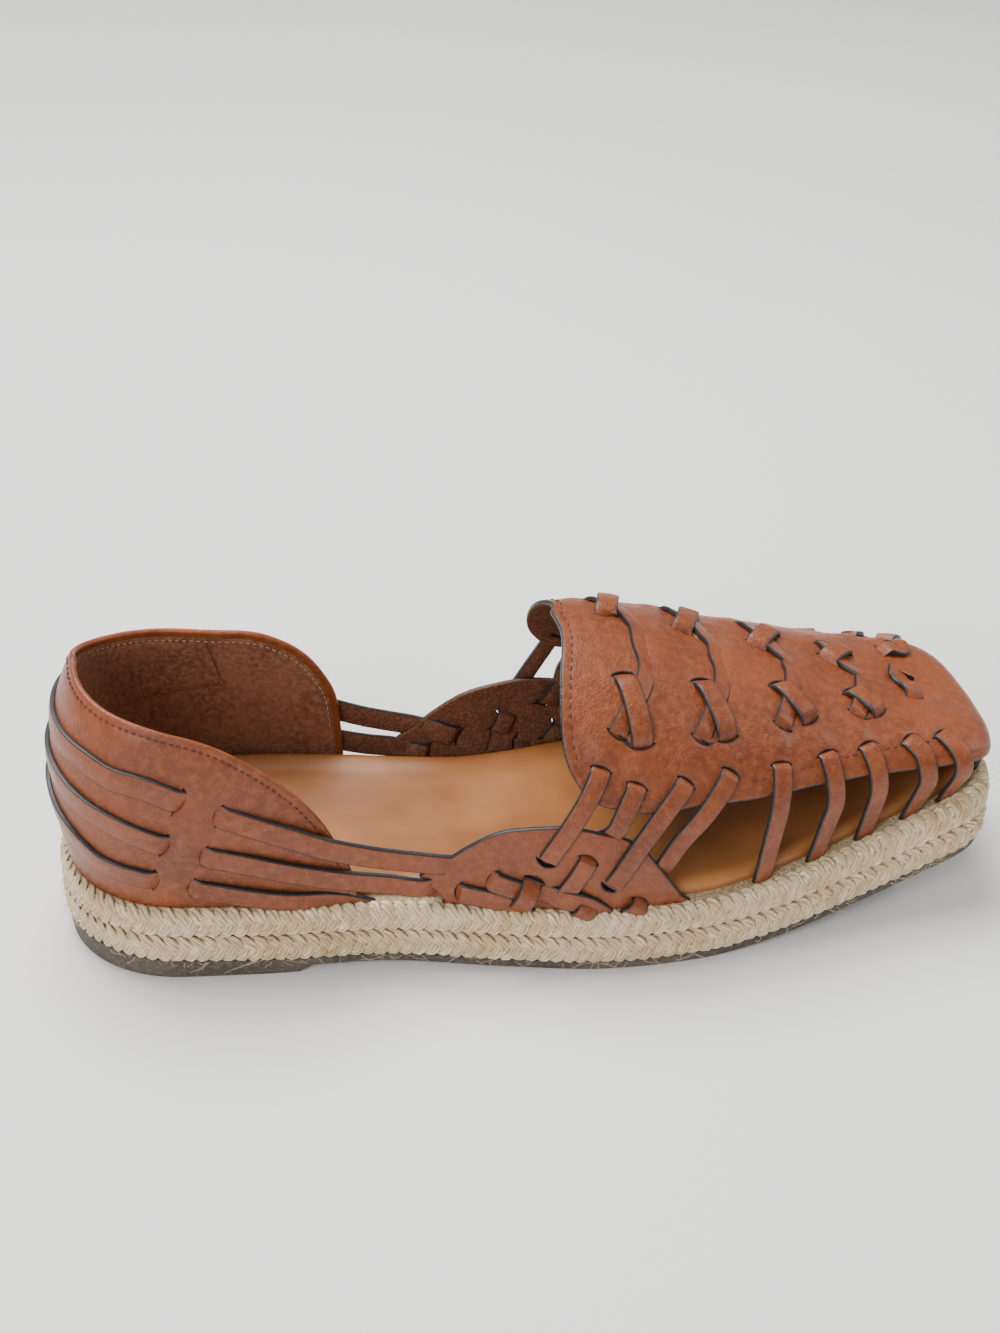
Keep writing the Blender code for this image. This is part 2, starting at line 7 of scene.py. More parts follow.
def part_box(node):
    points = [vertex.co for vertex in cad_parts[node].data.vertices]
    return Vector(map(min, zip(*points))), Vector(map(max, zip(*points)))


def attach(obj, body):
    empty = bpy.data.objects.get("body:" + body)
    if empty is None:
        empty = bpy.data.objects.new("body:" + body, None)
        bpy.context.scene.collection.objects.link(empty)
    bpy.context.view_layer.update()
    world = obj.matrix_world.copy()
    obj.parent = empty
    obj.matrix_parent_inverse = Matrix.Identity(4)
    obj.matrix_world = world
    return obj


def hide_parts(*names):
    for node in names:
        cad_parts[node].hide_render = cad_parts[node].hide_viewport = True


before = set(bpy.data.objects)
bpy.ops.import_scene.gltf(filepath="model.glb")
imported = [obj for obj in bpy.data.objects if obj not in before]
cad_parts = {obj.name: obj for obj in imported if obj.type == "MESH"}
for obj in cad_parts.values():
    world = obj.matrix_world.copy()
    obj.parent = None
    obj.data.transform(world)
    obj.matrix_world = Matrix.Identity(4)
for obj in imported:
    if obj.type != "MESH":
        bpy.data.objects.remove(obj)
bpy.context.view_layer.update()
dice = np.random.default_rng(11)

# Outsole. A thin sheet of moulded taupe rubber with the low heel block in one piece, cemented
# under the jute. Its cut side is matte and a little dusty, and its lower edge is softly rounded.
LENGTH = 0.264
BALL_WIDTH = 0.088
OUTSOLE_THICKNESS = 0.003
OUTSOLE_INSET = 0.0015
HEEL_LIFT = 0.0042
HEEL_LENGTH = 0.067
TOE_SPRING = 0.019
BRAID_HEIGHT = 0.0087
HAIR = 0.00001
# the toe's front edge is square to the forefoot, which points inwards: its slope, and where it starts
TOE_SLANT = 0.09
TOE_SLANT_START = 0.80

# The sole's plan: share of the length, then centre line and half width as shares of the ball width
PLAN = [
    # at, centre, half
    (0.00, 0.000, 0.381), (0.13, -0.006, 0.398), (0.22, -0.011, 0.405), (0.34, -0.018, 0.393),
    (0.46, -0.043, 0.425), (0.58, -0.030, 0.480), (0.66, 0.000, 0.498), (0.76, 0.039, 0.482),
    (0.86, 0.070, 0.427), (0.93, 0.080, 0.389), (1.00, 0.084, 0.366),
]
HEEL_ROUND_SHARE, HEEL_ROUND_POWER = 0.125, 2.15
TOE_ROUND_SHARE, TOE_ROUND_POWER = 0.095, 4.6
TOE_DRAW_START, TOE_DRAW_END = 0.70, 0.95

# The underside's profile: share of the length, of the heel's lift and of the toe spring
PROFILE = [
    # at, heel, toe
    (0.00, 1.00, 0.00), (0.14, 0.76, 0.00), (0.28, 0.43, 0.00), (0.45, 0.14, 0.00), (0.56, 0.00, 0.00),
    (0.67, 0.00, 0.00), (0.76, 0.00, 0.12), (0.88, 0.00, 0.45), (1.00, 0.00, 1.00),
]


def smooth(rows, at, column):
    """Read a table's column at a place, with a smooth curve through its rows. A level run stays level."""
    table = np.array(rows)
    places = table[:, 0]
    values = table[:, column]
    slopes = np.gradient(values, places)
    level = np.diff(values) == 0
    slopes[:-1][level] = 0
    slopes[1:][level] = 0
    at = np.clip(at, places[0], places[-1])
    row = np.clip(np.searchsorted(places, at, side="right") - 1, 0, len(places) - 2)
    span = places[row + 1] - places[row]
    t = (at - places[row]) / span
    start = (2 * t**3 - 3 * t**2 + 1) * values[row] + (t**3 - 2 * t**2 + t) * span * slopes[row]
    end = (3 * t**2 - 2 * t**3) * values[row + 1] + (t**3 - t**2) * span * slopes[row + 1]
    return start + end


def braid_bottom(x):
    share = x / LENGTH
    return OUTSOLE_THICKNESS + HEEL_LIFT * smooth(PROFILE, share, 1) + TOE_SPRING * smooth(PROFILE, share, 2)


def braid_top(x):
    return braid_bottom(x) + 2 * BRAID_HEIGHT


def outline(side, inset, toe_inset, stations):
    """One side of the sole's plan, from heel to toe, drawn in from the braid's edge."""
    x = inset + (LENGTH - inset - toe_inset) * stations
    blend = np.clip((stations - TOE_DRAW_START) / (TOE_DRAW_END - TOE_DRAW_START), 0, 1)
    half = BALL_WIDTH * smooth(PLAN, stations, 2) - inset - (toe_inset - inset) * blend
    heel = np.clip(1 - stations / HEEL_ROUND_SHARE, 0, 1)
    toe = np.clip((stations - 1 + TOE_ROUND_SHARE) / TOE_ROUND_SHARE, 0, 1)
    half = half * (1 - heel**HEEL_ROUND_POWER) ** (1 / HEEL_ROUND_POWER)
    half = half * (1 - toe**TOE_ROUND_POWER) ** (1 / TOE_ROUND_POWER)
    slant = TOE_SLANT * np.clip((stations - TOE_SLANT_START) / (1 - TOE_SLANT_START), 0, 1)
    return np.stack([x - side * half * slant, BALL_WIDTH * smooth(PLAN, stations, 1) + side * half], axis=-1)


def even_stations(count):
    """Places along the length, closer together at heel and toe."""
    return (1 - np.cos(np.linspace(0, np.pi, count))) / 2


def sole_ring(inset, toe_inset, stations):
    """The whole outline: along the outer side to the toe, then back along the inner side."""
    outer = outline(-1, inset, toe_inset, stations)
    inner = outline(1, inset, toe_inset, stations)
    return np.vstack([outer, inner[-2:0:-1]])


# The tables above start at the heel's back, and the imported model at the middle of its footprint
outsole_low, outsole_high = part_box("outsole")
edge = sole_ring(OUTSOLE_INSET, OUTSOLE_INSET, even_stations(401))
TO_FRAME = np.array([
    outsole_low.x - edge[:, 0].min(),
    (outsole_low.y + outsole_high.y - edge[:, 1].min() - edge[:, 1].max()) / 2,
    0,
])


def wire(tree, kind, **settings):
    """Add a node to a finish: each setting is a socket's value or link, or a property of the node."""
    node = tree.nodes.new("ShaderNode" + kind)
    for name, value in settings.items():
        socket = node.inputs.get(name.replace("_", " "))
        if socket is None:
            setattr(node, name, value)
        elif isinstance(value, bpy.types.NodeSocket):
            tree.links.new(value, socket)
        else:
            socket.default_value = value
    return node


def blend_colours(tree, factor, first, second):
    """Mix two colours, each given as numbers or as another node's colour."""
    node = tree.nodes.new("ShaderNodeMix")
    node.data_type = "RGBA"
    for socket, value in ((node.inputs[0], factor), (node.inputs[6], first), (node.inputs[7], second)):
        if isinstance(value, bpy.types.NodeSocket):
            tree.links.new(value, socket)
        elif isinstance(value, tuple):
            socket.default_value = (*value, 1)
        else:
            socket.default_value = value
    return node.outputs[2]


def spread(tree, value, low, high, to_low=0.0, to_high=1.0):
    """Stretch the part of a texture's values between low and high over a new range."""
    node = wire(tree, "MapRange", Value=value, From_Min=low, From_Max=high, To_Min=to_low, To_Max=to_high)
    return node.outputs[0]


def noise(tree, scale, detail=3.0, vector=None, rough=0.5):
    place = vector or wire(tree, "TexCoord").outputs["Object"]
    return wire(tree, "TexNoise", Vector=place, Scale=scale, Detail=detail, Roughness=rough).outputs["Fac"]


def new_finish(name, coat=0.0, coat_roughness=0.3, sheen=0.0, specular=0.5):
    """Start a material, and return it with its node tree and its shader."""
    material = bpy.data.materials.new(name)
    material.use_nodes = True
    shader = material.node_tree.nodes["Principled BSDF"]
    shader.inputs["Coat Weight"].default_value = coat
    shader.inputs["Coat Roughness"].default_value = coat_roughness
    shader.inputs["Sheen Weight"].default_value = sheen
    shader.inputs["Specular IOR Level"].default_value = specular
    return material, material.node_tree, shader


def finish_surface(tree, shader, colour, roughness, height, depth, strength=1.0):
    """Join colour, roughness and surface relief to the shader."""
    tree.links.new(colour, shader.inputs["Base Color"])
    tree.links.new(roughness, shader.inputs["Roughness"])
    bump = wire(tree, "Bump", Height=height, Distance=depth, Strength=strength)
    tree.links.new(bump.outputs[0], shader.inputs["Normal"])


def grid_faces(rows, columns, close_rows=False, close_columns=False):
    """Quads of a grid of points, numbered row by row."""
    i, j = np.meshgrid(
        np.arange(rows if close_rows else rows - 1), np.arange(columns if close_columns else columns - 1),
        indexing="ij",
    )
    k = (i + 1) % rows
    m = (j + 1) % columns
    quads = [i * columns + j, i * columns + m, k * columns + m, k * columns + j]
    return np.stack(quads, axis=-1).reshape(-1, 4)


def new_piece(name, points, faces, finishes, slot, marks=None, crease=40):
    """Make a piece from points in the tables' frame. Marks say which finish each face takes."""
    mesh = bpy.data.meshes.new(name)
    mesh.from_pydata((np.asarray(points) + TO_FRAME).tolist(), [], [list(map(int, face)) for face in faces])
    for finish in finishes:
        mesh.materials.append(finish)
    if marks is not None:
        mesh.polygons.foreach_set("material_index", np.asarray(marks, dtype=np.int32))
    mesh.shade_smooth()
    mesh.set_sharp_from_angle(angle=np.radians(crease))
    mesh.validate()
    piece = bpy.data.objects.new(name, mesh)
    bpy.context.scene.collection.objects.link(piece)
    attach(piece, "root")
    if slot == "upper":
        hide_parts("upper")
    return piece


def stacked_rings(rings, stations):
    """Rings of the sole's outline, one over another, with the lowest and highest closed across."""
    count = len(rings[0])
    points = np.vstack(rings)
    faces = grid_faces(len(rings), count, close_columns=True).tolist()
    for first, turn in ((0, 1), ((len(rings) - 1) * count, -1)):
        for i in range(len(stations) - 1):
            near = (first + i, first + i + 1)
            far = (first + (count - i - 1) % count, first + (count - i) % count)
            corners = list(dict.fromkeys([near[0], near[1], far[0], far[1]]))
            faces.append(corners[::-turn])
    return points, faces


rubber, tree, shader = new_finish("taupe_rubber", specular=0.35)
grit = noise(tree, 900, 4)
cloud = noise(tree, 60, 3)
dust = spread(tree, cloud, 0.42, 0.68)
base = blend_colours(tree, dust, (0.070, 0.054, 0.042), (0.120, 0.095, 0.076))
tone = blend_colours(tree, spread(tree, grit, 0.45, 0.75), base, (0.15, 0.125, 0.10))
finish_surface(tree, shader, tone, spread(tree, cloud, 0.3, 0.7, 0.62, 0.85), grit, 0.00015)

breast = (HEEL_LENGTH - OUTSOLE_INSET) / (LENGTH - 2 * OUTSOLE_INSET)
sheet_stations = np.sort(np.concatenate([even_stations(150), [breast, breast + 0.0012, breast + 0.005]]))


def outsole_bottom(x):
    heel = np.clip((HEEL_LENGTH + 0.0002 - x) / 0.0003, 0, 1)
    return (1 - heel) * (braid_bottom(x) - OUTSOLE_THICKNESS)


rings = []
for draw, rise, from_top in ((0.0012, 0, 0), (0.0004, 0.0001, 0), (0.0001, 0.0004, 0), (0, 0.0009, 0),
                             (0, -0.0005, 1), (0.0003, -0.0002, 1)):
    ring = sole_ring(OUTSOLE_INSET + draw, OUTSOLE_INSET + draw, sheet_stations)
    level = braid_bottom(ring[:, 0]) if from_top else outsole_bottom(ring[:, 0])
    rings.append(np.column_stack([ring, level + rise]))
points, faces = stacked_rings(rings, sheet_stations)
outsole = new_piece("rubber_outsole", points, faces, [rubber], "outsole")
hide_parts("outsole")

# Jute braid, two rows. Each row is a flat plait of three strands, each strand of three loose yarns,
# glued round the sole's side with its chevrons pointing the way the plait was wound.
STRANDS = 3
YARNS = 3
PLAIT_PITCH = 0.0105
PLAIT_DEPTH = 0.00080
PLAIT_SWING = 0.0029
YARN_WIDTH = 0.00064
YARN_THICKNESS = 0.00052
YARN_SPACING = 0.00102
PLAIT_INSET = 0.0016
YARN_SIDES = 6
STEPS_PER_PITCH = 14
# the upper row's top edge bends inwards over this radius, to meet the leather
BEND_START = 0.0016
BEND_RADIUS = 0.0026

jute, tree, shader = new_finish("jute_yarn", sheen=0.25, specular=0.2)
lengthwise = wire(tree, "UVMap", uv_map="fibres").outputs[0]
fibres = noise(tree, 1.0, 3, wire(tree, "Mapping", Vector=lengthwise, Scale=(0.9, 9, 1)).outputs[0], 0.6)
patches = noise(tree, 260, 3)
wide_patches = noise(tree, 45, 2)
pale = blend_colours(tree, spread(tree, patches, 0.35, 0.68), (0.62, 0.46, 0.26), (0.95, 0.82, 0.56))
dark = blend_colours(tree, spread(tree, fibres, 0.40, 0.62), (0.42, 0.28, 0.14), pale)
tone = blend_colours(tree, spread(tree, wide_patches, 0.35, 0.75, 0.0, 0.35), dark, (0.84, 0.71, 0.50))
finish_surface(tree, shader, tone, spread(tree, fibres, 0.3, 0.7, 0.8, 1.0), fibres, 0.00035)

core, tree, shader = new_finish("jute_core", specular=0.1)
specks = noise(tree, 1500, 4)
tone = blend_colours(tree, spread(tree, specks, 0.4, 0.65), (0.30, 0.21, 0.12), (0.60, 0.45, 0.28))
finish_surface(tree, shader, tone, spread(tree, specks, 0, 1, 0.9, 1.0), specks, 0.0006)

# the plait's path round the sole, evenly spaced, with the way outwards from it
walk = sole_ring(PLAIT_INSET, PLAIT_INSET, even_stations(900))
steps = np.hypot(*np.diff(np.vstack([walk, walk[:1]]), axis=0).T)
travelled = np.concatenate([[0], np.cumsum(steps)])
PITCHES = round(travelled[-1] / PLAIT_PITCH)
count = PITCHES * STEPS_PER_PITCH
even = np.arange(count) / count * travelled[-1]
looped = np.vstack([walk, walk[:1]])
path = np.column_stack([np.interp(even, travelled, looped[:, 0]), np.interp(even, travelled, looped[:, 1])])
heading = np.roll(path, -2, axis=0) - np.roll(path, 2, axis=0)
heading /= np.linalg.norm(heading, axis=1, keepdims=True)
outwards = np.column_stack([heading[:, 1], -heading[:, 0], np.zeros(count)])


def wander(length, waves, size):
    """A smooth closed random curve, for yarns that don't lie quite even."""
    angle = np.arange(length) / length * 2 * np.pi
    total = np.zeros(length)
    for wave in dice.integers(waves // 2, waves * 2, 6):
        total += np.sin(wave * angle + dice.uniform(0, 6.3))
    return total * size / 3


def unit(vectors):
    return vectors / np.linalg.norm(vectors, axis=-1, keepdims=True)


# how far up the upper row reaches, more at the toe, where the leather stands further in
reach = 1.08 + 0.24 * np.clip((path[:, 0] / LENGTH - 0.70) / 0.25, 0, 1)


def bent_over(points, middle):
    """Bend the top of the upper row inwards over the sole's edge."""
    out = ((points - np.column_stack([path, middle])[:, None]) * outwards[:, None]).sum(axis=-1)
    up = (points[..., 2] - middle[:, None] + BRAID_HEIGHT / 2) * reach[:, None] - BRAID_HEIGHT / 2
    turn = np.clip(up - BEND_START, 0, None) / BEND_RADIUS
    flat = up <= BEND_START
    height = np.where(flat, up, BEND_START + (BEND_RADIUS + out) * np.sin(turn))
    place = np.where(flat, out, (BEND_RADIUS + out) * np.cos(turn) - BEND_RADIUS)
    points = points + outwards[:, None] * (place - out)[..., None]
    points[..., 2] = middle[:, None] + height
    return points


for name, row in (("lower_jute_plait", 0), ("upper_jute_plait", 1)):
    points, faces, maps = [], [], []
    for strand in range(STRANDS):
        phase = 2 * np.pi * (np.arange(count) / STEPS_PER_PITCH + strand / STRANDS)
        swing = PLAIT_SWING * np.sin(phase) + wander(count, 160, 0.00012)
        depth = -PLAIT_DEPTH * np.sin(2 * phase) + wander(count, 120, 0.0001)
        middle = braid_bottom(path[:, 0]) + (row + 0.5) * BRAID_HEIGHT
        line = np.column_stack([path, middle + swing]) + outwards * depth[:, None]
        along = unit(np.roll(line, -1, axis=0) - np.roll(line, 1, axis=0))
        beside = unit(np.cross(outwards, along))
        proud = np.cross(along, beside)
        for yarn in range(YARNS):
            place = yarn - (YARNS - 1) / 2
            shift = place * YARN_SPACING + wander(count, 200, 0.00013)
            lift = 0.00022 * (1 - abs(place)) + wander(count, 200, 0.0001)
            centre = line + beside * shift[:, None] + proud * lift[:, None]
            fat = 1 + wander(count, 260, 0.10)
            first = len(points) * count * YARN_SIDES
            turns = np.arange(YARN_SIDES) / YARN_SIDES * 2 * np.pi
            sides = beside[:, None] * (np.cos(turns) * YARN_WIDTH)[:, None]
            sides = sides + proud[:, None] * (np.sin(turns) * YARN_THICKNESS)[:, None]
            yarn_points = centre[:, None] + sides * fat[:, None, None]
            if row:
                yarn_points = bent_over(yarn_points, middle)
            points.append(yarn_points.reshape(-1, 3))
            ring = grid_faces(count, YARN_SIDES, close_rows=True, close_columns=True)
            faces.append(ring + first)
            run = np.repeat(np.arange(count), YARN_SIDES) * 0.25 + dice.uniform(0, 90)
            turn = np.tile(np.arange(YARN_SIDES) / YARN_SIDES, count)
            start = np.column_stack([run, turn])[ring]
            start[:, 2:4, 0] = start[:, 0:1, 0] + 0.25
            start[:, 1:3, 1] = start[:, 0:1, 1] + 1 / YARN_SIDES
            maps.append(start.reshape(-1, 2))
    core_rings = []
    core_stations = even_stations(120)
    for draw, share in ((0.0040, 0.03), (0.0024, 0.10), (0.0021, 0.5), (0.0024, 0.94), (0.0040, 1.04)):
        ring = sole_ring(draw, draw, core_stations)
        core_rings.append(np.column_stack([ring, braid_bottom(ring[:, 0]) + (row + share) * BRAID_HEIGHT]))
    core_points, core_faces = stacked_rings(core_rings, core_stations)
    yarn_points = np.vstack(points)
    yarn_faces = np.vstack(faces)
    every_face = yarn_faces.tolist() + [[v + len(yarn_points) for v in face] for face in core_faces]
    marks = [0] * len(yarn_faces) + [1] * len(core_faces)
    plait = new_piece(
        name, np.vstack([yarn_points, core_points]), every_face, [jute, core],
        ("lower_braid", "upper_braid")[row], marks, crease=80,
    )
    layer = plait.data.uv_layers.new(name="fibres")
    corner_maps = np.zeros((len(plait.data.loops), 2), dtype=np.float32)
    yarn_maps = np.vstack(maps)
    corner_maps[:len(yarn_maps)] = yarn_maps
    layer.data.foreach_set("uv", corner_maps.ravel())
    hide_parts(("lower_braid", "upper_braid")[row])

# Stray jute fibres. Fine hairs that work loose from the plait, most of them along its lower edge
# and in the groove between the rows. They curl out and downwards.
HAIRS = 330
HAIR_POINTS = 9
HAIR_RADIUS = 0.00007
hair_points, hair_faces = [], []
for number in range(HAIRS):
    at = dice.integers(0, count)
    level = dice.choice([0.02, 0.12, 0.5, 0.53, 0.9, 1.0], p=[0.34, 0.2, 0.16, 0.1, 0.1, 0.1])
    length = dice.uniform(0.003, 0.010)
    lean = dice.uniform(-1, 1)
    start = np.array([*path[at], braid_bottom(path[at, 0]) + level * 2 * BRAID_HEIGHT])
    start = start + outwards[at] * 0.0012
    share = np.linspace(0, 1, HAIR_POINTS)[:, None]
    ahead = np.array([*heading[at], 0])
    curl = dice.uniform(-0.5, 1.0)
    hair = start + ahead * lean * length * share
    hair = hair + outwards[at] * (0.0011 * np.sin(share * 2.6) + 0.0006 * share * curl)
    hair[:, 2] += (dice.uniform(-0.35, 0.28) * length * share - 0.12 * length * share**2)[:, 0]
    hair += np.column_stack([wander(HAIR_POINTS, 2, 0.0004) for _ in range(3)]) * share
    hair[:, 2] = np.maximum(hair[:, 2], 0.0004)
    along = unit(np.gradient(hair, axis=0))
    beside = unit(np.cross(along, outwards[at] + 0.01))
    proud = np.cross(along, beside)
    first = len(hair_points) * HAIR_POINTS * 3
    turns = np.arange(3) / 3 * 2 * np.pi
    taper = (1.1 - 0.6 * share) * HAIR_RADIUS
    around = beside[:, None] * np.cos(turns)[:, None] + proud[:, None] * np.sin(turns)[:, None]
    hair_points.append((hair[:, None] + around * taper[:, None]).reshape(-1, 3))
    hair_faces.append(grid_faces(HAIR_POINTS, 3, close_columns=True) + first)
    last_ring = first + (HAIR_POINTS - 1) * 3
    hair_faces.append(np.array([[first, first + 1, first + 2, first + 2]]))
    hair_faces.append(np.array([[last_ring, last_ring + 1, last_ring + 2, last_ring + 2]]))
hair_list = [list(dict.fromkeys(face)) for face in np.vstack(hair_faces).tolist()]
new_piece("stray_jute_fibres", np.vstack(hair_points), hair_list, [jute], "upper_braid")

# Insole. A thin padded board wrapped in smooth orange-tan leather, turned under at its edge, so
# the edge is a soft roll that shows through the side gaps. Its surface is bare and lightly rubbed.
FEATHER_INSET = 0.0032
TOE_FEATHER_INSET = 0.0048
WALL = 0.0018
INSOLE_GAP = 0.0003
INSOLE_THICKNESS = 0.005
INSOLE_ROLL = 0.0030
INSOLE_DISH = 0.0005
# how much higher the footbed's inner edge stands beside the heel
INSOLE_CUP = 0.0028

footbed, tree, shader = new_finish("tan_footbed_leather", coat=0.10, coat_roughness=0.35, specular=0.35)
cloud = noise(tree, 30, 3)
rub = noise(tree, 190, 4)
grain = noise(tree, 2600, 3)
base = blend_colours(tree, spread(tree, cloud, 0.35, 0.65), (0.24, 0.085, 0.022), (0.39, 0.150, 0.044))
tone = blend_colours(tree, spread(tree, rub, 0.50, 0.80, 0.0, 0.45), base, (0.29, 0.115, 0.040))
finish_surface(tree, shader, tone, spread(tree, cloud, 0.3, 0.7, 0.34, 0.48), grain, 0.00004)

board_stations = even_stations(130)
board_inset = FEATHER_INSET + WALL + INSOLE_GAP
rings = []
for turn in np.concatenate([[-np.pi / 6], np.linspace(0, np.pi / 2, 7), [2.0, 2.5, 3.0]]):
    draw = INSOLE_ROLL * (1 - np.cos(min(turn, np.pi / 2))) + max(0, turn - np.pi / 2) * 0.004
    drop = INSOLE_ROLL * (1 - np.sin(min(turn, np.pi / 2))) + max(0, turn - np.pi / 2) * INSOLE_DISH
    if turn < 0:
        draw, drop = 0.0004, INSOLE_THICKNESS
    ring = sole_ring(board_inset + draw, TOE_FEATHER_INSET + WALL + INSOLE_GAP + draw, board_stations)
    cup = INSOLE_CUP * np.clip((ring[:, 1] - 0.016) / 0.014, 0, 1) * np.clip((0.115 - ring[:, 0]) / 0.03, 0, 1)
    rings.append(np.column_stack([ring, braid_top(ring[:, 0]) + INSOLE_THICKNESS - drop + cup]))
points, faces = stacked_rings(rings, board_stations)
insole = new_piece("wrapped_leather_insole", points, faces, [footbed], "insole")
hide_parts("insole")

# Heel counter. Saddle leather drawn over the last, with a suede lining inside and a second layer of
# suede as a heel grip. Its rim is turned over and stitched, and the heel bands pass through its slots.
INSTEP_HEIGHT = 0.068
COUNTER_THICKNESS = 0.0018
UNDER_SOLE = -1.03
HEEL_BAND_WIDTH = 0.0072
SIDE_STRAP_WIDTH = 0.0066
LINING_FROM_EDGE = 0.0019
LINING_THICKNESS = 0.0004
GRIP_FROM_EDGE = 0.0034
GRIP_THICKNESS = 0.0006
# how much longer a slot is than its strap's half width, at each end
SLOT_ROOM = 0.0003
PROBE = 0.002
PATTERN_SIZE = np.array((0.300, 0.085))
EDGE_STEP = 0.0010
GRID_CLEARANCE = 0.0013
STITCH_FROM_EDGE = 0.0024

# Sections of the last, from the heel's back round to the toe's tip
SECTIONS = [
    # at, ridge_x, ridge_y, ridge_z, lift, lean, reach
    (0.00, 0.140, 0.000, 1.26, 0.62, 0.136, 0.45),
    (0.10, 0.150, 0.000, 1.26, 0.62, 0.125, 0.50),
    (0.20, 0.190, -0.006, 1.24, 0.60, 0.102, 0.55),
    (0.30, 0.270, -0.006, 1.16, 0.60, 0.080, 0.60),
    (0.40, 0.370, 0.023, 1.07, 0.60, 0.057, 0.62),
    (0.50, 0.475, 0.080, 1.00, 0.62, 0.045, 0.66),
    (0.60, 0.585, 0.114, 0.93, 0.66, 0.045, 0.70),
    (0.70, 0.690, 0.119, 0.79, 0.72, 0.057, 0.74),
    (0.80, 0.790, 0.125, 0.62, 0.78, 0.080, 0.78),
    (0.90, 0.885, 0.125, 0.43, 0.88, 0.125, 0.84),
    (1.00, 0.945, 0.114, 0.28, 1.00, 0.136, 0.90),
]
OUTER_RIM = [
    (0.00, -0.50), (0.05, -0.52), (0.10, -0.545), (0.15, -0.57), (0.20, -0.60),
    (0.24, -0.65), (0.27, -0.71), (0.29, -0.77), (0.305, -0.84), (0.318, -0.92), (0.325, UNDER_SOLE),
]
INNER_RIM = [
    (0.00, 0.50), (0.05, 0.56), (0.10, 0.60), (0.15, 0.615), (0.20, 0.615), (0.245, 0.61),
    (0.275, 0.635), (0.295, 0.675), (0.31, 0.73), (0.322, 0.80), (0.326, 0.90), (0.328, -UNDER_SOLE),
]
HEEL_BANDS = [
    [(0.000, -0.670), (0.075, -0.680), (0.110, -0.700), (0.140, -0.710), (0.173, -0.740)],
    [(0.000, -0.765), (0.040, -0.770), (0.077, -0.790), (0.110, -0.810), (0.138, -0.830), (0.159, -0.845)],
    [(0.000, -0.845), (0.050, -0.875), (0.077, -0.900), (0.100, -0.920), (0.148, -0.932)],
]
SIDE_STRAPS = [
    [(0.200, -0.765), (0.260, -0.810), (0.300, -0.845), (0.345, -0.872), (0.400, -0.890), (0.424, -0.900),
     (0.462, -0.938), (0.490, -0.955), (0.525, -0.973), (0.552, UNDER_SOLE)],
    [(0.185, -0.865), (0.230, -0.885), (0.273, -0.910), (0.318, -0.935), (0.370, -0.952), (0.406, -0.960),
     (0.425, -0.966), (0.455, -0.985), (0.482, UNDER_SOLE)],
    [(0.172, -0.945), (0.220, -0.965), (0.260, -0.980), (0.300, -0.992), (0.345, UNDER_SOLE)],
]

FEATHER = {}
for side in (-1, 1):
    line = outline(side, FEATHER_INSET, TOE_FEATHER_INSET, even_stations(401))
    steps = np.hypot(*np.diff(line, axis=0).T)
    FEATHER[side] = (np.concatenate([[0], np.cumsum(steps)]) / steps.sum(), line)


def feather(side, along):
    shares, line = FEATHER[side]
    return np.stack([np.interp(along, shares, line[:, 0]), np.interp(along, shares, line[:, 1])], axis=-1)


def ridge(along):
    x = LENGTH * smooth(SECTIONS, along, 1)
    y = BALL_WIDTH * smooth(SECTIONS, along, 2)
    return np.stack([x, y, braid_top(x) + INSTEP_HEIGHT * smooth(SECTIONS, along, 3)], axis=-1)


def last(along, across):
    """The last's surface: along from heel (0) to toe (1), across from the outer edge (-1) to the inner (1).

    Past either end it carries on along the other side.
    """
    along, across = np.broadcast_arrays(np.asarray(along, float), np.asarray(across, float))
    across = np.where((along < 0) | (along > 1), -across, across)
    along = 1 - np.abs(1 - np.abs(along))
    outer = (across < 0)[..., None]
    foot = np.where(outer, feather(-1, along), feather(1, along))
    near = np.clip(along - PROBE, 0, 1)
    far = np.clip(along + PROBE, 0, 1)
    run = np.where(outer, feather(-1, far) - feather(-1, near), feather(1, near) - feather(1, far))
    run = unit(run)
    foot_z = braid_top(foot[..., 0])
    top = ridge(along)
    climb = ridge(far) - ridge(near)
    slope = climb[..., 2] / np.maximum(climb[..., 0], HAIR)
    lift = smooth(SECTIONS, along, 4) * (top[..., 2] - foot_z)
    lean = smooth(SECTIONS, along, 5) * BALL_WIDTH
    reach = smooth(SECTIONS, along, 6)
    bottom = np.stack([foot[..., 0], foot[..., 1], foot_z], axis=-1)
    wall = bottom + np.stack([run[..., 1] * lean, -run[..., 0] * lean, lift], axis=-1)
    back_x = reach * (foot[..., 0] - top[..., 0])
    back_y = reach * (foot[..., 1] - top[..., 1])
    shoulder = top + np.stack([back_x, back_y, slope * back_x], axis=-1)
    t = (1 - np.abs(across))[..., None]
    return (1 - t)**3 * bottom + 3 * (1 - t)**2 * t * wall + 3 * (1 - t) * t**2 * shoulder + t**3 * top


def off_last(along, across):
    """The direction square to the last's surface, outwards."""
    run = last(along + PROBE, across) - last(along - PROBE, across)
    rise = last(along, across + PROBE) - last(along, across - PROBE)
    return unit(np.cross(run, rise))


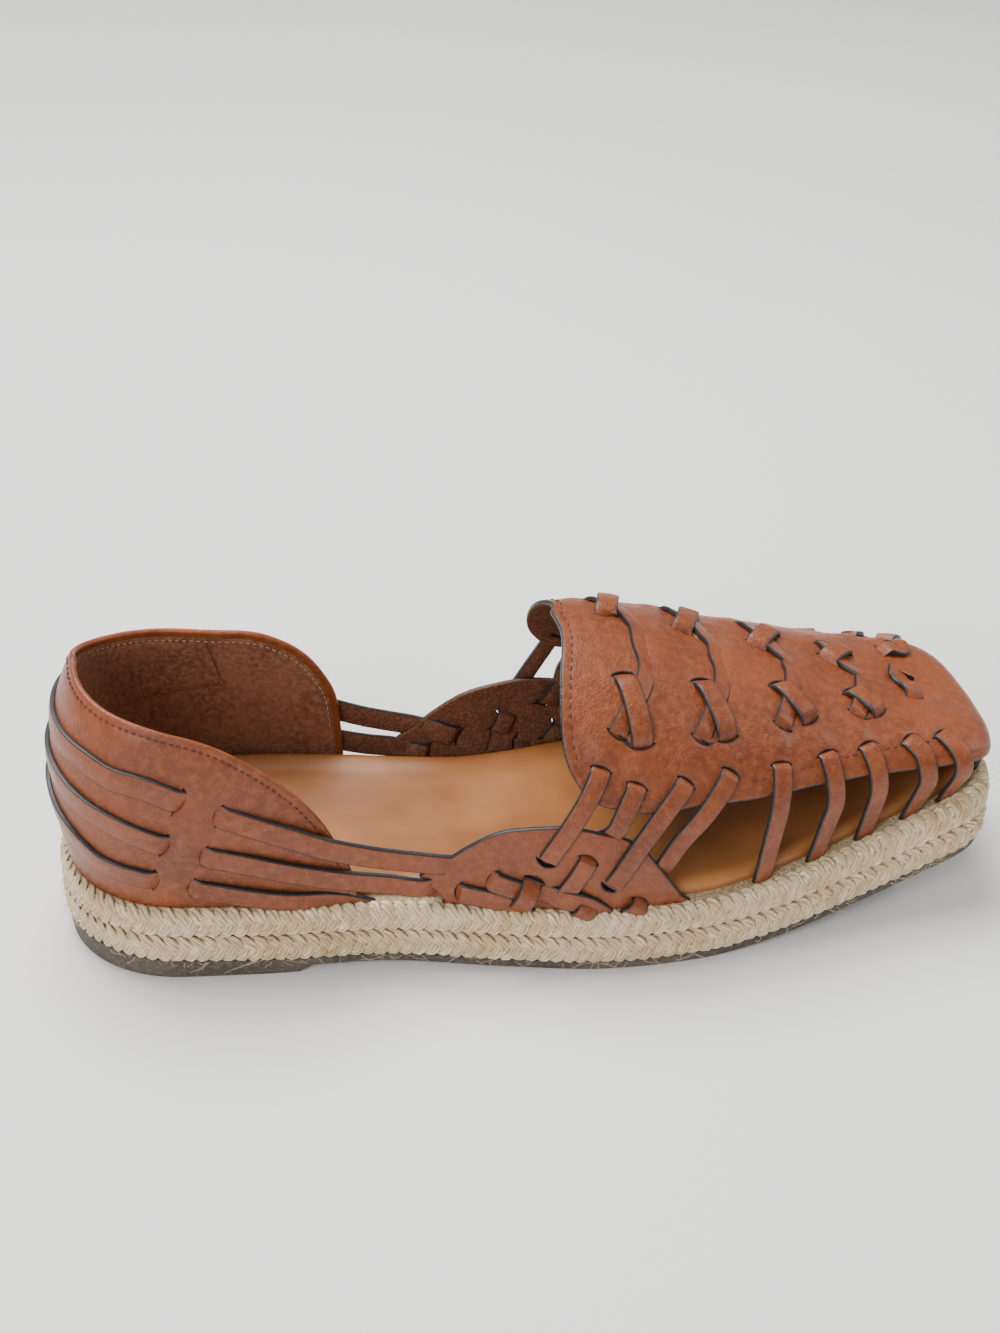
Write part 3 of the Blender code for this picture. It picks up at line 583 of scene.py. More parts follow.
def metre_steps(places, heading):
    """Steps in the pattern that would be a metre long on the last, along a heading and square to it."""
    along, across = places[..., 0], places[..., 1]
    by_s = (last(along + PROBE, across) - last(along - PROBE, across)) / (2 * PROBE)
    by_v = (last(along, across + PROBE) - last(along, across - PROBE)) / (2 * PROBE)
    g_ss, g_sv, g_vv = (by_s * by_s).sum(-1), (by_s * by_v).sum(-1), (by_v * by_v).sum(-1)

    def metre(s, v):
        return np.stack([s, v], axis=-1) / np.sqrt(g_ss * s * s + 2 * g_sv * s * v + g_vv * v * v)[..., None]

    s, v = heading[..., 0], heading[..., 1]
    return metre(s, v), metre(-(g_sv * s + g_vv * v), g_ss * s + g_sv * v)


def drawn(points, step):
    """Even points on a smooth line through a few places of the pattern."""
    rows = np.column_stack([np.linspace(0, 1, len(points)), points])
    fine = np.linspace(0, 1, 60 * len(points))
    line = np.column_stack([smooth(rows, fine, 1), smooth(rows, fine, 2)])
    lengths = np.linalg.norm(np.diff(last(line[:, 0], line[:, 1]), axis=0), axis=1)
    shares = np.concatenate([[0], np.cumsum(lengths)]) / lengths.sum()
    even = np.linspace(0, 1, max(3, round(lengths.sum() / step) + 1))
    return np.column_stack([np.interp(even, shares, line[:, 0]), np.interp(even, shares, line[:, 1])])


SIDES = (("outer", 1), ("inner", -1))


def sided(points, side):
    """Places drawn for the outer side, or their mirror images for the inner side."""
    return points if side > 0 else [(s, -v) for s, v in points]


def slot_at(points, share, away, half=0.0031, gape=0.0009):
    """A curved slot cut square to a strap where it goes through the leather, bowed away from its shown part."""
    line = drawn(points, EDGE_STEP)
    here = min(len(line) - 1, round(share * (len(line) - 1)))
    ahead, square = metre_steps(line[here], np.gradient(line, axis=0)[here])
    j = np.linspace(-1, 1, 11)[:, None]
    upper = line[here] + square * half * j + ahead * away * (gape - 1.6 * gape * j**2)
    lower = line[here] + square * half * j - ahead * away * (0.25 * gape + 0.45 * gape * j**2)
    return np.vstack([upper, lower[-2:0:-1]])


def anticlockwise(points):
    following = np.roll(points, -1, axis=0)
    turn = (points[:, 0] * following[:, 1] - following[:, 0] * points[:, 1]).sum()
    return points if turn > 0 else points[::-1]


def nearest(fence, points):
    """How far each point lies from the nearest point of a fence."""
    tree = kdtree.KDTree(len(fence))
    for number, post in enumerate(fence):
        tree.insert(post, number)
    tree.balance()
    return np.array([tree.find(point)[2] for point in points])


def leather_sheet(name, outlines, cuts, finishes, slot, thickness, relief, spacing=0.0019, roll=0.00045,
                  rings=(0.00018, 0.0005, 0.0010), groove=None, depth=0.0, paint=0.0):
    """Cut a sheet in the flat pattern, draw it over the last, raise its relief and roll its edges."""
    shapes = [anticlockwise(np.array(shape)) for shape in outlines]
    holes = [anticlockwise(np.array(shape)) for shape in cuts]
    places, loops = [], []
    for shape in shapes + holes:
        loops.append(list(range(len(places), len(places) + len(shape))))
        places.extend(shape)
    extra = []
    for number, shape in enumerate(shapes + holes):
        inwards = 1 if number < len(shapes) else -1
        heading = np.roll(shape, -1, axis=0) - np.roll(shape, 1, axis=0)
        square = metre_steps(shape, heading)[1] * inwards
        free = (shape[:, 0] > 0.003) & (shape[:, 0] < 0.997)
        ring_set = rings + ((groove - 0.0004, groove, groove + 0.0004) if groove and inwards > 0 else ())
        for ring in ring_set if inwards > 0 else rings[:2]:
            extra.append((shape + square * ring)[free])
    columns = np.arange(spacing / 2, PATTERN_SIZE[0], spacing)
    rows = np.arange(-PATTERN_SIZE[1] + spacing / 2, PATTERN_SIZE[1], spacing * 0.87)
    grid = np.array([
        ((column + (number % 2) * spacing / 2) / PATTERN_SIZE[0], row / PATTERN_SIZE[1])
        for number, row in enumerate(rows) for column in columns
    ])
    corners = np.vstack(shapes + holes)
    low, high = corners.min(axis=0), corners.max(axis=0)
    grid = grid[((grid > low) & (grid < high)).all(axis=1)]
    clear = nearest(last(corners[:, 0], corners[:, 1]), last(grid[:, 0], grid[:, 1])) > GRID_CLEARANCE
    extra.append(grid[clear])
    flat = np.vstack([np.array(places)] + extra) * PATTERN_SIZE
    made = delaunay_2d_cdt([Vector(point) for point in flat], [], loops, 0, 0.00003)
    corners = np.array([tuple(point) for point in made[0]]) / PATTERN_SIZE
    triangles = np.array([
        face for face, owners in zip(made[2], made[5])
        if any(o < len(shapes) for o in owners) and not any(o >= len(shapes) for o in owners)
    ])
    used, triangles = np.unique(triangles, return_inverse=True)
    triangles = triangles.reshape(-1, 3)
    corners = corners[used]
    # sew the two halves where they meet at the heel's back and at the toe's tip
    seam = (corners[:, 0] < 0.0005) | (corners[:, 0] > 0.9995)
    keys, renumber = {}, np.arange(len(corners))
    for i in np.flatnonzero(seam):
        key = (round(corners[i, 0]), round(abs(corners[i, 1]) * 1000))
        renumber[i] = keys.setdefault(key, i)
    triangles = renumber[triangles]
    whole = (triangles != np.roll(triangles, 1, axis=1)).all(axis=1)
    used, triangles = np.unique(triangles[whole], return_inverse=True)
    triangles = triangles.reshape(-1, 3)
    corners = corners[used]
    base = last(corners[:, 0], corners[:, 1])
    normals = np.zeros_like(base)
    a, b, c = (base[triangles[:, k]] for k in range(3))
    face_normals = np.cross(b - a, c - a)
    for k in range(3):
        np.add.at(normals, triangles[:, k], face_normals)
    normals = unit(normals)
    directed = np.vstack([triangles[:, [0, 1]], triangles[:, [1, 2]], triangles[:, [2, 0]]])
    known = {(i, j) for i, j in directed.tolist()}
    rim = np.array([(i, j) for i, j in directed.tolist() if (j, i) not in known])
    rim_samples = np.vstack([
        base[rim[:, 0]] * (1 - share) + base[rim[:, 1]] * share for share in np.arange(0, 1, 0.1)
    ])
    from_edge = nearest(rim_samples, base)
    rise = relief(base)
    if groove:
        rise = rise - depth * np.exp(-((from_edge - groove) / 0.0004)**2)
    inside = np.clip(roll - from_edge, 0, roll)
    rolled = roll - np.sqrt(roll**2 - inside**2)
    outer = base + normals * (rise - rolled)[:, None]
    inner = base + normals * (rise - thickness + rolled)[:, None]
    count = len(base)
    sides = np.column_stack([rim[:, 1], rim[:, 0], rim[:, 0] + count, rim[:, 1] + count])
    near_edge = (from_edge[triangles] < paint).all(axis=1)
    faces = triangles.tolist() + sides.tolist() + (triangles[:, ::-1] + count).tolist()
    marks = near_edge.astype(int).tolist() + [1] * len(sides) + [2] * len(triangles)
    return new_piece(name, np.vstack([outer, inner]), faces, finishes, slot, marks, crease=50)


def relief_of(ridges):
    """Soft ridges and troughs: from place to place in the pattern, with a reach and a height in millimetres."""
    lines = [(last(*a), last(*b), reach / 1000, height / 1000) for a, b, reach, height in ridges]

    def relief(points):
        total = np.zeros(len(points))
        for start, end, reach, height in lines:
            run = end - start
            share = np.clip(((points - start) @ run) / max(run @ run, HAIR**2), 0, 1)
            gap = np.linalg.norm(points - start - share[:, None] * run, axis=1)
            total += height * np.exp(-(gap / reach)**2)
        return total

    return relief


def stitch_row(name, line, height, finish, pitch=0.0020, length=0.00135, radius=0.00020, inside=False):
    """A row of thread stitches along a line of the pattern, each one's ends sunk in the leather."""
    spots = drawn(line, 0.0005)
    world = last(spots[:, 0], spots[:, 1])
    run = np.concatenate([[0], np.cumsum(np.linalg.norm(np.diff(world, axis=0), axis=1))])
    points, faces = [], []
    shares = np.array([0, 0.12, 0.5, 0.88, 1.0])
    sink = np.array([0.0007, 0.0001, 0, 0.0001, 0.0007])
    for start in np.arange(pitch / 2, run[-1] - length, pitch):
        at = start + shares * length
        s, v = np.interp(at, run, spots[:, 0]), np.interp(at, run, spots[:, 1])
        centre, out = last(s, v), off_last(s, v)
        along = unit(np.gradient(centre, axis=0))
        beside = np.cross(out, along)
        proud = radius * 0.35 - sink
        centre = centre + out * (height(centre) + (-proud if inside else proud))[:, None]
        turns = np.arange(6) / 6 * 2 * np.pi
        ring = beside[:, None] * (np.cos(turns) * radius)[:, None]
        ring = ring + out[:, None] * (np.sin(turns) * radius)[:, None]
        first = len(points) * 30
        points.append((centre[:, None] + ring).reshape(-1, 3))
        faces += (grid_faces(5, 6, close_columns=True) + first).tolist()
        faces += [[first + k for k in range(6)][::-1], [first + 24 + k for k in range(6)]]
    return new_piece(name, np.vstack(points), faces, [finish], "upper", crease=60)


def leather_finish(name, dark, light, worn, roughness=0.40, coat=0.18):
    """Smooth cow leather: uneven dye, rubbed patches, and a fine grain that breaks up its gloss."""
    material, tree, shader = new_finish(name, coat=coat, coat_roughness=0.26, specular=0.32)
    cloud = noise(tree, 38, 4, rough=0.55)
    mottle = noise(tree, 420, 4, rough=0.65)
    wear = noise(tree, 150, 3)
    base = blend_colours(tree, spread(tree, cloud, 0.33, 0.67), dark, light)
    base = blend_colours(tree, spread(tree, mottle, 0.42, 0.70, 0.0, 0.55), base, worn)
    cells = wire(tree, "TexVoronoi", Scale=1150, Randomness=1.0,
                 Vector=wire(tree, "TexCoord").outputs["Object"]).outputs["Distance"]
    fine = noise(tree, 3600, 2)
    grain = wire(tree, "Math", operation="ADD").outputs[0]
    adder = grain.node
    tree.links.new(cells, adder.inputs[0])
    tree.links.new(spread(tree, fine, 0.2, 0.8, 0.0, 0.5), adder.inputs[1])
    gloss = spread(tree, wear, 0.3, 0.7, roughness - 0.06, roughness + 0.10)
    finish_surface(tree, shader, base, gloss, grain, 0.00016, 0.9)
    return material


saddle = leather_finish(
    "saddle_brown_leather", (0.130, 0.027, 0.0065), (0.215, 0.050, 0.0125), (0.30, 0.088, 0.028),
)

suede, tree, shader = new_finish("brown_suede", sheen=0.06, specular=0.08)
cloud = noise(tree, 70, 4)
nap = noise(tree, 700, 5, rough=0.7)
base = blend_colours(tree, spread(tree, cloud, 0.35, 0.65), (0.125, 0.045, 0.021), (0.22, 0.092, 0.048))
tone = blend_colours(tree, spread(tree, nap, 0.40, 0.64), base, (0.28, 0.132, 0.075))
finish_surface(tree, shader, tone, spread(tree, nap, 0, 1, 0.92, 1.0), nap, 0.0005)

def simple_finish(name, texture, low, high, dark, light, roughness, depth, coat=0.0, specular=0.5, mix=1.0):
    """A finish from one noise texture, that sets its colour, its roughness and its relief."""
    material, tree, shader = new_finish(name, coat=coat, specular=specular)
    spots = noise(tree, *texture)
    tone = blend_colours(tree, spread(tree, spots, low, high, 0.0, mix), dark, light)
    finish_surface(tree, shader, tone, spread(tree, spots, 0, 1, *roughness), spots, depth)
    return material


paint = simple_finish(
    "black_edge_paint", (500, 3), 0.55, 0.8, (0.010, 0.010, 0.012), (0.05, 0.04, 0.035), (0.36, 0.62), 0.0001,
    coat=0.15, mix=0.7,
)
flesh = simple_finish(
    "leather_flesh_side", (1200, 4), 0.4, 0.65, (0.10, 0.040, 0.022), (0.18, 0.080, 0.045), (0.9, 1.0), 0.0003,
    specular=0.15,
)
thread = simple_finish(
    "dark_red_thread", (2500, 2), 0.4, 0.6, (0.055, 0.014, 0.010), (0.12, 0.035, 0.024), (0.6, 0.8), 0.0001,
    specular=0.3,
)
pale_thread = simple_finish(
    "light_brown_thread", (2500, 2), 0.4, 0.6, (0.30, 0.16, 0.09), (0.44, 0.27, 0.17), (0.6, 0.8), 0.0001,
    specular=0.3,
)


def half_counter(rim):
    """One side's outline: along the rim, down the front, back under the edge and up the back seam."""
    edge = drawn(rim, EDGE_STEP)
    under = drawn([rim[-1], (0, rim[-1][1])], EDGE_STEP)
    back = drawn([(0, rim[-1][1]), rim[0]], EDGE_STEP)
    return np.vstack([edge, under[1:], back[1:-1]])


counter_cuts, counter_ridges = [], []
for lines, share, away, width in (
    (HEEL_BANDS, 0.985, 1, HEEL_BAND_WIDTH), (SIDE_STRAPS, 0.012, -1, SIDE_STRAP_WIDTH),
):
    for line in lines:
        for name, side in SIDES:
            counter_cuts.append(slot_at(sided(line, side), share, away, width / 2 + SLOT_ROOM))
for name, side in SIDES:
    counter_ridges += [
        # the bridge over the tucked straps, a dip before the front edge, and a fuller heel
        ((0.186, -0.75 * side), (0.166, -0.93 * side), 4.0, 0.35),
        ((0.265, -0.70 * side), (0.295, -0.86 * side), 4.0, -0.35),
        ((0.06, -0.60 * side), (0.14, -0.64 * side), 5.0, 0.25),
    ]
counter_relief = relief_of(counter_ridges)
leather_sheet(
    "heel_counter", [half_counter(OUTER_RIM), half_counter(INNER_RIM)], counter_cuts,
    [saddle, saddle, saddle], "upper", COUNTER_THICKNESS, counter_relief, roll=0.0008,
    rings=(0.0002, 0.0005, 0.0009), groove=STITCH_FROM_EDGE, depth=0.00018,
)


def set_in(line, distance):
    """A line moved sideways on the last by a distance, to the left of its own way."""
    places = drawn(line, 0.0020)
    return places + metre_steps(places, np.gradient(places, axis=0))[1] * distance


def lining_half(rim, way, distance, foot):
    """A lining's outline on one side: a set distance inside the rim, and down to its own lower edge."""
    edge = np.array(set_in(rim, way * distance))
    edge[0] = (0, way * (0.5 + distance / PATTERN_SIZE[1]))
    return np.vstack([edge, foot, drawn([foot[-1], edge[0]], EDGE_STEP)[1:-1]])


def lining_relief(points):
    return counter_relief(points) - COUNTER_THICKNESS - LINING_THICKNESS


# the suede lining under the turned rim, and the heel grip, a second layer of it round the back
linings, grips = [], []
for rim, way in ((OUTER_RIM, -1), (INNER_RIM, 1)):
    foot = drawn([(0.322, 0.975 * way), (0, 0.975 * way)], EDGE_STEP)
    linings.append(lining_half(rim[:-1], way, LINING_FROM_EDGE, foot))
    foot = drawn([(0.215, 0.780 * way), (0.16, 0.805 * way), (0.08, 0.830 * way), (0, 0.845 * way)], EDGE_STEP)
    grips.append(lining_half(rim[:5], way, GRIP_FROM_EDGE, foot))
leather_sheet(
    "suede_lining", linings, [], [suede, suede, suede], "upper", LINING_THICKNESS,
    lambda points: lining_relief(points) + LINING_THICKNESS, roll=0.0002, rings=(0.0003,),
)
leather_sheet(
    "suede_heel_grip", grips, [], [suede, suede, suede], "upper", GRIP_THICKNESS, lining_relief,
    roll=0.0003, rings=(0.0003,),
)
for name, rim, way in (("outer", OUTER_RIM, -1), ("inner", INNER_RIM, 1)):
    row = set_in(rim[:-1], way * STITCH_FROM_EDGE)
    stitch_row(f"{name}_rim_stitches", row, counter_relief, thread)
    row = set_in(rim[:-1], way * (STITCH_FROM_EDGE + 0.0006))
    stitch_row(f"{name}_lining_stitches", row, lambda p: lining_relief(p) - 0.0002, pale_thread, inside=True)

# Heel bands and side straps. Three narrow straps go round the back of the heel, dive through the
# counter's slots and come out again further on, to run forward under the wing and into the sole.
# Each is a strip cut from the same leather, with its cut edges painted black.
STRAP_WIDTH = 0.0055
STRAP_STEP = 0.0009

# Section of a strap: across it from edge to edge, over the top and back underneath, in half widths,
# and millimetres below its top
STRAP_SECTION = np.array([
    # across, drop
    (1.00, 0.55), (0.95, 0.20), (0.85, 0.06), (0.70, 0.0), (0.35, -0.05), (0.0, -0.07),
    (-0.35, -0.05), (-0.70, 0.0), (-0.85, 0.06), (-0.95, 0.20), (-1.00, 0.55),
    (-1.00, 1.25), (-0.90, 1.45), (0.0, 1.42), (0.90, 1.45), (1.00, 1.25),
])
SECTION_MARKS = [1, 1, 0, 0, 0, 0, 0, 0, 1, 1, 1, 1, 2, 2, 1, 1]


def strap(name, line, heights, lean=0.0, width=STRAP_WIDTH):
    """A strap laid along a line of the pattern. Heights are shares of its run and millimetres over the last."""
    spots = drawn(line, STRAP_STEP)
    share = np.linspace(0, 1, len(spots))
    top = smooth(heights, share, 1)
    square = metre_steps(spots, np.gradient(spots, axis=0))[1]
    rows = []
    for across, drop in STRAP_SECTION:
        place = spots + square * across * width / 2
        rise = (top + lean * across - drop) / 1000
        rows.append(last(place[:, 0], place[:, 1]) + off_last(place[:, 0], place[:, 1]) * rise[:, None])
    points = np.stack(rows, axis=1).reshape(-1, 3)
    around = len(STRAP_SECTION)
    faces = grid_faces(len(spots), around, close_columns=True).tolist()
    final = (len(spots) - 1) * around
    faces += [list(range(around))[::-1], list(range(final, final + around))]
    marks = SECTION_MARKS * (len(spots) - 1) + [1, 1]
    return new_piece(name, points, faces, [saddle, paint, flesh], "upper", marks, crease=45)


for number, band in enumerate(HEEL_BANDS, 1):
    whole = [(s, v) for s, v in band[:0:-1]] + [(-s, v) for s, v in band]
    strap(f"heel_band_{number}", whole, [
        (0.00, -0.5), (0.022, 0.75), (0.06, 0.95), (0.5, 0.95), (0.94, 0.95), (0.978, 0.75), (1.00, -0.5),
    ], lean=-0.45, width=HEEL_BAND_WIDTH)

# heights: share of the strap's run, and millimetres from the last's surface to its top
SIDE_HEIGHTS = [
    [(0, -0.5), (.022, 1.0), (.05, 1.2), (.48, 1.4), (.565, .2), (.60, -1.0), (.625, -1.9), (.655, -1.9),
     (.685, 1.5), (.755, 1.5), (.785, .2), (.815, .2), (.845, 1.5), (.93, 1.4), (1, .6)],
    [(0, -0.5), (.025, 1.0), (.06, 1.2), (.55, 1.4), (.66, .9), (.715, -1.9), (.735, -1.9), (.765, 1.4),
     (.93, 1.4), (1, .6)],
    [(0, -0.5), (.045, 1.0), (.10, 1.2), (.60, 1.4), (.75, .6), (1, .2)],
]
for number, (line, heights) in enumerate(zip(SIDE_STRAPS, SIDE_HEIGHTS), 1):
    for name, side in SIDES:
        strap(f"{name}_side_strap_{number}", sided(line, side), heights, width=SIDE_STRAP_WIDTH)

# Wings. A leaf of leather at each side of the midfoot, slit so that the slats and the side straps
# weave through it. It runs down into the sole, with painted cut edges.
WING = [
    (0.378, -0.930), (0.398, -0.890), (0.415, -0.850), (0.438, -0.805), (0.455, -0.782),
    (0.473, -0.770), (0.492, -0.762), (0.512, -0.757), (0.530, -0.765), (0.547, -0.778),
    (0.562, -0.790), (0.578, -0.820), (0.590, -0.865), (0.603, -0.920), (0.617, -0.980),
    (0.624, UNDER_SOLE), (0.410, UNDER_SOLE), (0.400, -0.990), (0.390, -0.960),
]
WING_THICKNESS = 0.0016
SLATS = [
    [(0.549, -0.57), (0.535, -0.66), (0.517, -0.75), (0.496, -0.845), (0.485, -0.90), (0.475, -0.95),
     (0.462, UNDER_SOLE)],
    [(0.579, -0.62), (0.566, -0.70), (0.552, -0.78), (0.535, -0.83), (0.521, -0.90), (0.511, -0.945),
     (0.495, UNDER_SOLE)],
    [(0.625, -0.61), (0.601, -0.71), (0.577, -0.81), (0.555, -0.91), (0.541, -0.95), (0.517, UNDER_SOLE)],
    [(0.668, -0.575), (0.645, -0.69), (0.620, -0.79), (0.602, -0.87), (0.588, -0.95), (0.562, UNDER_SOLE)],
    [(0.716, -0.55), (0.712, -0.65), (0.708, -0.72), (0.703, -0.85), (0.696, UNDER_SOLE)],
    [(0.764, -0.52), (0.765, -0.65), (0.765, -0.76), (0.760, -0.88), (0.751, UNDER_SOLE)],
    [(0.808, -0.49), (0.810, -0.64), (0.809, -0.81), (0.803, UNDER_SOLE)],
    [(0.852, -0.46), (0.860, -0.60), (0.860, -0.75), (0.850, UNDER_SOLE)],
    [(0.890, -0.42), (0.894, -0.60), (0.893, -0.77), (0.887, UNDER_SOLE)],
]


def closed_line(corners, step=EDGE_STEP):
    """A smooth closed outline through corners of the pattern."""
    ring = list(corners) + [corners[0]]
    ring = [corners[-1]] + ring + [corners[1]]
    line = drawn(ring, step)
    starts = np.linalg.norm(line - corners[0], axis=1)
    half = len(line) // 2
    first = starts[:half].argmin()
    final = half + starts[half:].argmin()
    return line[first:final]


for name, side in SIDES:
    cuts = []
    for straps, number, share, away, width in (
        (SLATS, 0, 0.600, 1, STRAP_WIDTH), (SLATS, 0, 0.710, -1, STRAP_WIDTH),
        (SLATS, 1, 0.525, -1, STRAP_WIDTH), (SLATS, 1, 0.815, 1, STRAP_WIDTH),
        (SLATS, 2, 0.715, 1, STRAP_WIDTH), (SLATS, 2, 0.835, -1, STRAP_WIDTH),
        (SLATS, 3, 0.845, -1, STRAP_WIDTH),
        (SIDE_STRAPS, 0, 0.675, -1, SIDE_STRAP_WIDTH), (SIDE_STRAPS, 0, 0.765, 1, SIDE_STRAP_WIDTH),
        (SIDE_STRAPS, 0, 0.835, -1, SIDE_STRAP_WIDTH),
        (SIDE_STRAPS, 1, 0.755, -1, SIDE_STRAP_WIDTH),
    ):
        cuts.append(slot_at(sided(straps[number], side), share, away, width / 2 + SLOT_ROOM))
    wing_relief = relief_of([
        # puffed over each tucked strap, and round the leaf's front edge
        ((0.490, -0.86 * side), (0.482, -0.90 * side), 3.5, 0.55),
        ((0.548, -0.84 * side), (0.535, -0.88 * side), 3.5, 0.45),
        ((0.536, -0.93 * side), (0.545, -0.91 * side), 3.0, 0.5),
        ((0.585, -0.88 * side), (0.608, -0.95 * side), 3.5, 0.7),
        ((0.455, -0.93 * side), (0.470, -0.95 * side), 3.0, 0.5),
        ((0.475, -0.80 * side), (0.500, -0.79 * side), 4.5, 0.35),
    ])
    leather_sheet(
        f"{name}_wing", [closed_line(sided(WING, side))], cuts, [saddle, paint, flesh], "upper", WING_THICKNESS,
        wing_relief, paint=0.0008,
    )

# Plug. The vamp's moccasin-like cover, cut in one piece from throat to toe, pillowed between its
# slits, with painted cut edges and a stitched throat.
PLUG_EDGE = [
    (0.549, -0.06), (0.546, -0.12), (0.540, -0.18), (0.530, -0.28), (0.521, -0.40),
    (0.517, -0.50), (0.518, -0.57), (0.523, -0.62), (0.533, -0.67), (0.550, -0.70),
    (0.590, -0.72), (0.640, -0.70), (0.700, -0.69), (0.750, -0.68), (0.800, -0.68),
    (0.850, -0.69), (0.885, -0.70), (0.910, -0.74), (0.935, -0.80), (0.965, -0.84), (1.00, -0.85),
]
PLUG_INNER_RISE = 0.20
PLUG_THICKNESS = 0.0016
LAID_STRAP_WIDTH = 0.0061
THROAT_STITCH_FROM_EDGE = 0.0027
SLOT_GAPE = 0.0006

# Lacing stations on the plug. A crossing band goes from a tucked end on the outer side, over the
# middle, to one on the inner side, and a strap is laid over each of its legs. Places along the
# plug are the outer side's, and the inner side's lie further forward by the skew.
LACING = [
    # slit, over, over_end, tuck, skew, middle, half_slit, over_from, over_to, tuck_to
    (0.610, 0.588, 0.588, 0.564, 0.014, -0.130, 0.130, 0.115, 0.390, 0.355),
    (0.690, 0.666, 0.671, 0.640, 0.016, -0.110, 0.110, 0.105, 0.365, 0.375),
    (0.775, 0.750, 0.764, 0.727, 0.013, -0.090, 0.070, 0.090, 0.300, 0.330),
    (0.860, 0.832, 0.847, 0.815, 0.012, -0.080, 0.040, 0.085, 0.240, 0.265),
]
# how far forward of its two slit ends a crossing band bows in the middle
BAND_BOW = 0.003
# short loops of strap near the toe, outer and inner
TOE_LOOPS = [
    [(0.950, 0.065), (0.912, -0.180)],
    [(0.893, 0.215), (0.912, 0.290), (0.895, 0.405)],
]
inner_plug_edge = [(s, -v * (1 - PLUG_INNER_RISE * (1 - s))) for s, v in PLUG_EDGE]
plug_outline = np.vstack([
    drawn(inner_plug_edge[:2:-1] + inner_plug_edge[2::-1] + PLUG_EDGE, EDGE_STEP),
    drawn([(1, -0.85), (1, -0.425), (1, 0)], EDGE_STEP)[1:],
    drawn([(1, 0.85), (1, 0.425), (1, 0)], EDGE_STEP)[-2:0:-1],
])
CROSSINGS, LAID_STRAPS = [], []
for slit, over, over_end, tuck, skew, middle, half_slit, over_from, over_to, tuck_to in LACING:
    CROSSINGS.append([
        (tuck + skew, middle + tuck_to), (slit + skew, middle + half_slit),
        (slit + skew / 2 + BAND_BOW, middle), (slit, middle - half_slit), (tuck, middle - tuck_to),
    ])
    LAID_STRAPS.append([
        [(over, middle - over_from), (over_end, middle - over_to)],
        [(over + skew, middle + over_from), (over_end + skew, middle + over_to)],
    ])
plug_cuts, plug_ridges = [], []
for line in CROSSINGS + [pair for pairs in LAID_STRAPS for pair in pairs] + TOE_LOOPS:
    half, inset = (0.0031, 0.016) if len(line) > 3 else (0.0034, 0.055)
    for share, away in ((inset, -1), (1 - inset, 1)):
        plug_cuts.append(slot_at(line, share, away, half, SLOT_GAPE))
for crossing, pair in zip(CROSSINGS, LAID_STRAPS):
    far, near = crossing[1], crossing[3]
    plug_ridges += [
        # fuller in front of each crossing band
        ((far[0] + 0.019, far[1] - 0.04), (near[0] + 0.019, near[1] + 0.04), 3.8, 0.75),
    ]
    for (s, v), way in ((crossing[0], -1), (crossing[4], 1)):
        # puffed over its tucked ends
        plug_ridges.append(((s - 0.012, v + 0.03 * way), (s - 0.008, v - 0.03 * way), 3.2, 0.6))
    for ((s, v), end), way in zip(pair, (1, -1)):
        # and dipped where its laid straps go in
        plug_ridges.append(((s - 0.004, v + 0.035 * way), (s + 0.004, v + 0.035 * way), 2.6, -0.35))
for name, side in SIDES:
    for slat in SLATS:
        line = sided(slat, side)
        plug_cuts.append(slot_at(line, 0.020, -1, gape=SLOT_GAPE))
        s, v = line[0]
        plug_ridges.append(((s, v + 0.035 * side), (s, v + 0.06 * side), 3.0, 0.6))
plug_relief = relief_of(plug_ridges)
leather_sheet(
    "plug", [plug_outline], plug_cuts, [saddle, paint, flesh], "upper", PLUG_THICKNESS, plug_relief,
    groove=STITCH_FROM_EDGE, depth=0.00015, paint=0.0006,
)
throat = inner_plug_edge[6:1:-1] + inner_plug_edge[1::-1] + PLUG_EDGE[:7]
throat_row = set_in(throat, THROAT_STITCH_FROM_EDGE)
stitch_row("throat_stitches", throat_row, plug_relief, thread, pitch=0.0028, length=0.0019)
for name, side in SIDES:
    for number, (rear, front) in enumerate(zip(SLATS[3:], SLATS[4:]), 1):
        # between each pair of slats, along the plug's lower edge
        (s, v), (t, w) = rear[0], front[0]
        edge = sided([(s + 0.012, v - 0.050), (t - 0.012, w - 0.065)], side)
        stitch_row(f"{name}_edge_stitches_{number}", edge, plug_relief, thread, pitch=0.0026, length=0.0018)

# Slats. Straps that come out of the plug's slots, weave over and under at the midfoot, and go
# down into the sole, closer and straighter towards the toe.
SLAT_START = [(0, -1.2), (.04, 1.2), (.08, 1.5)]
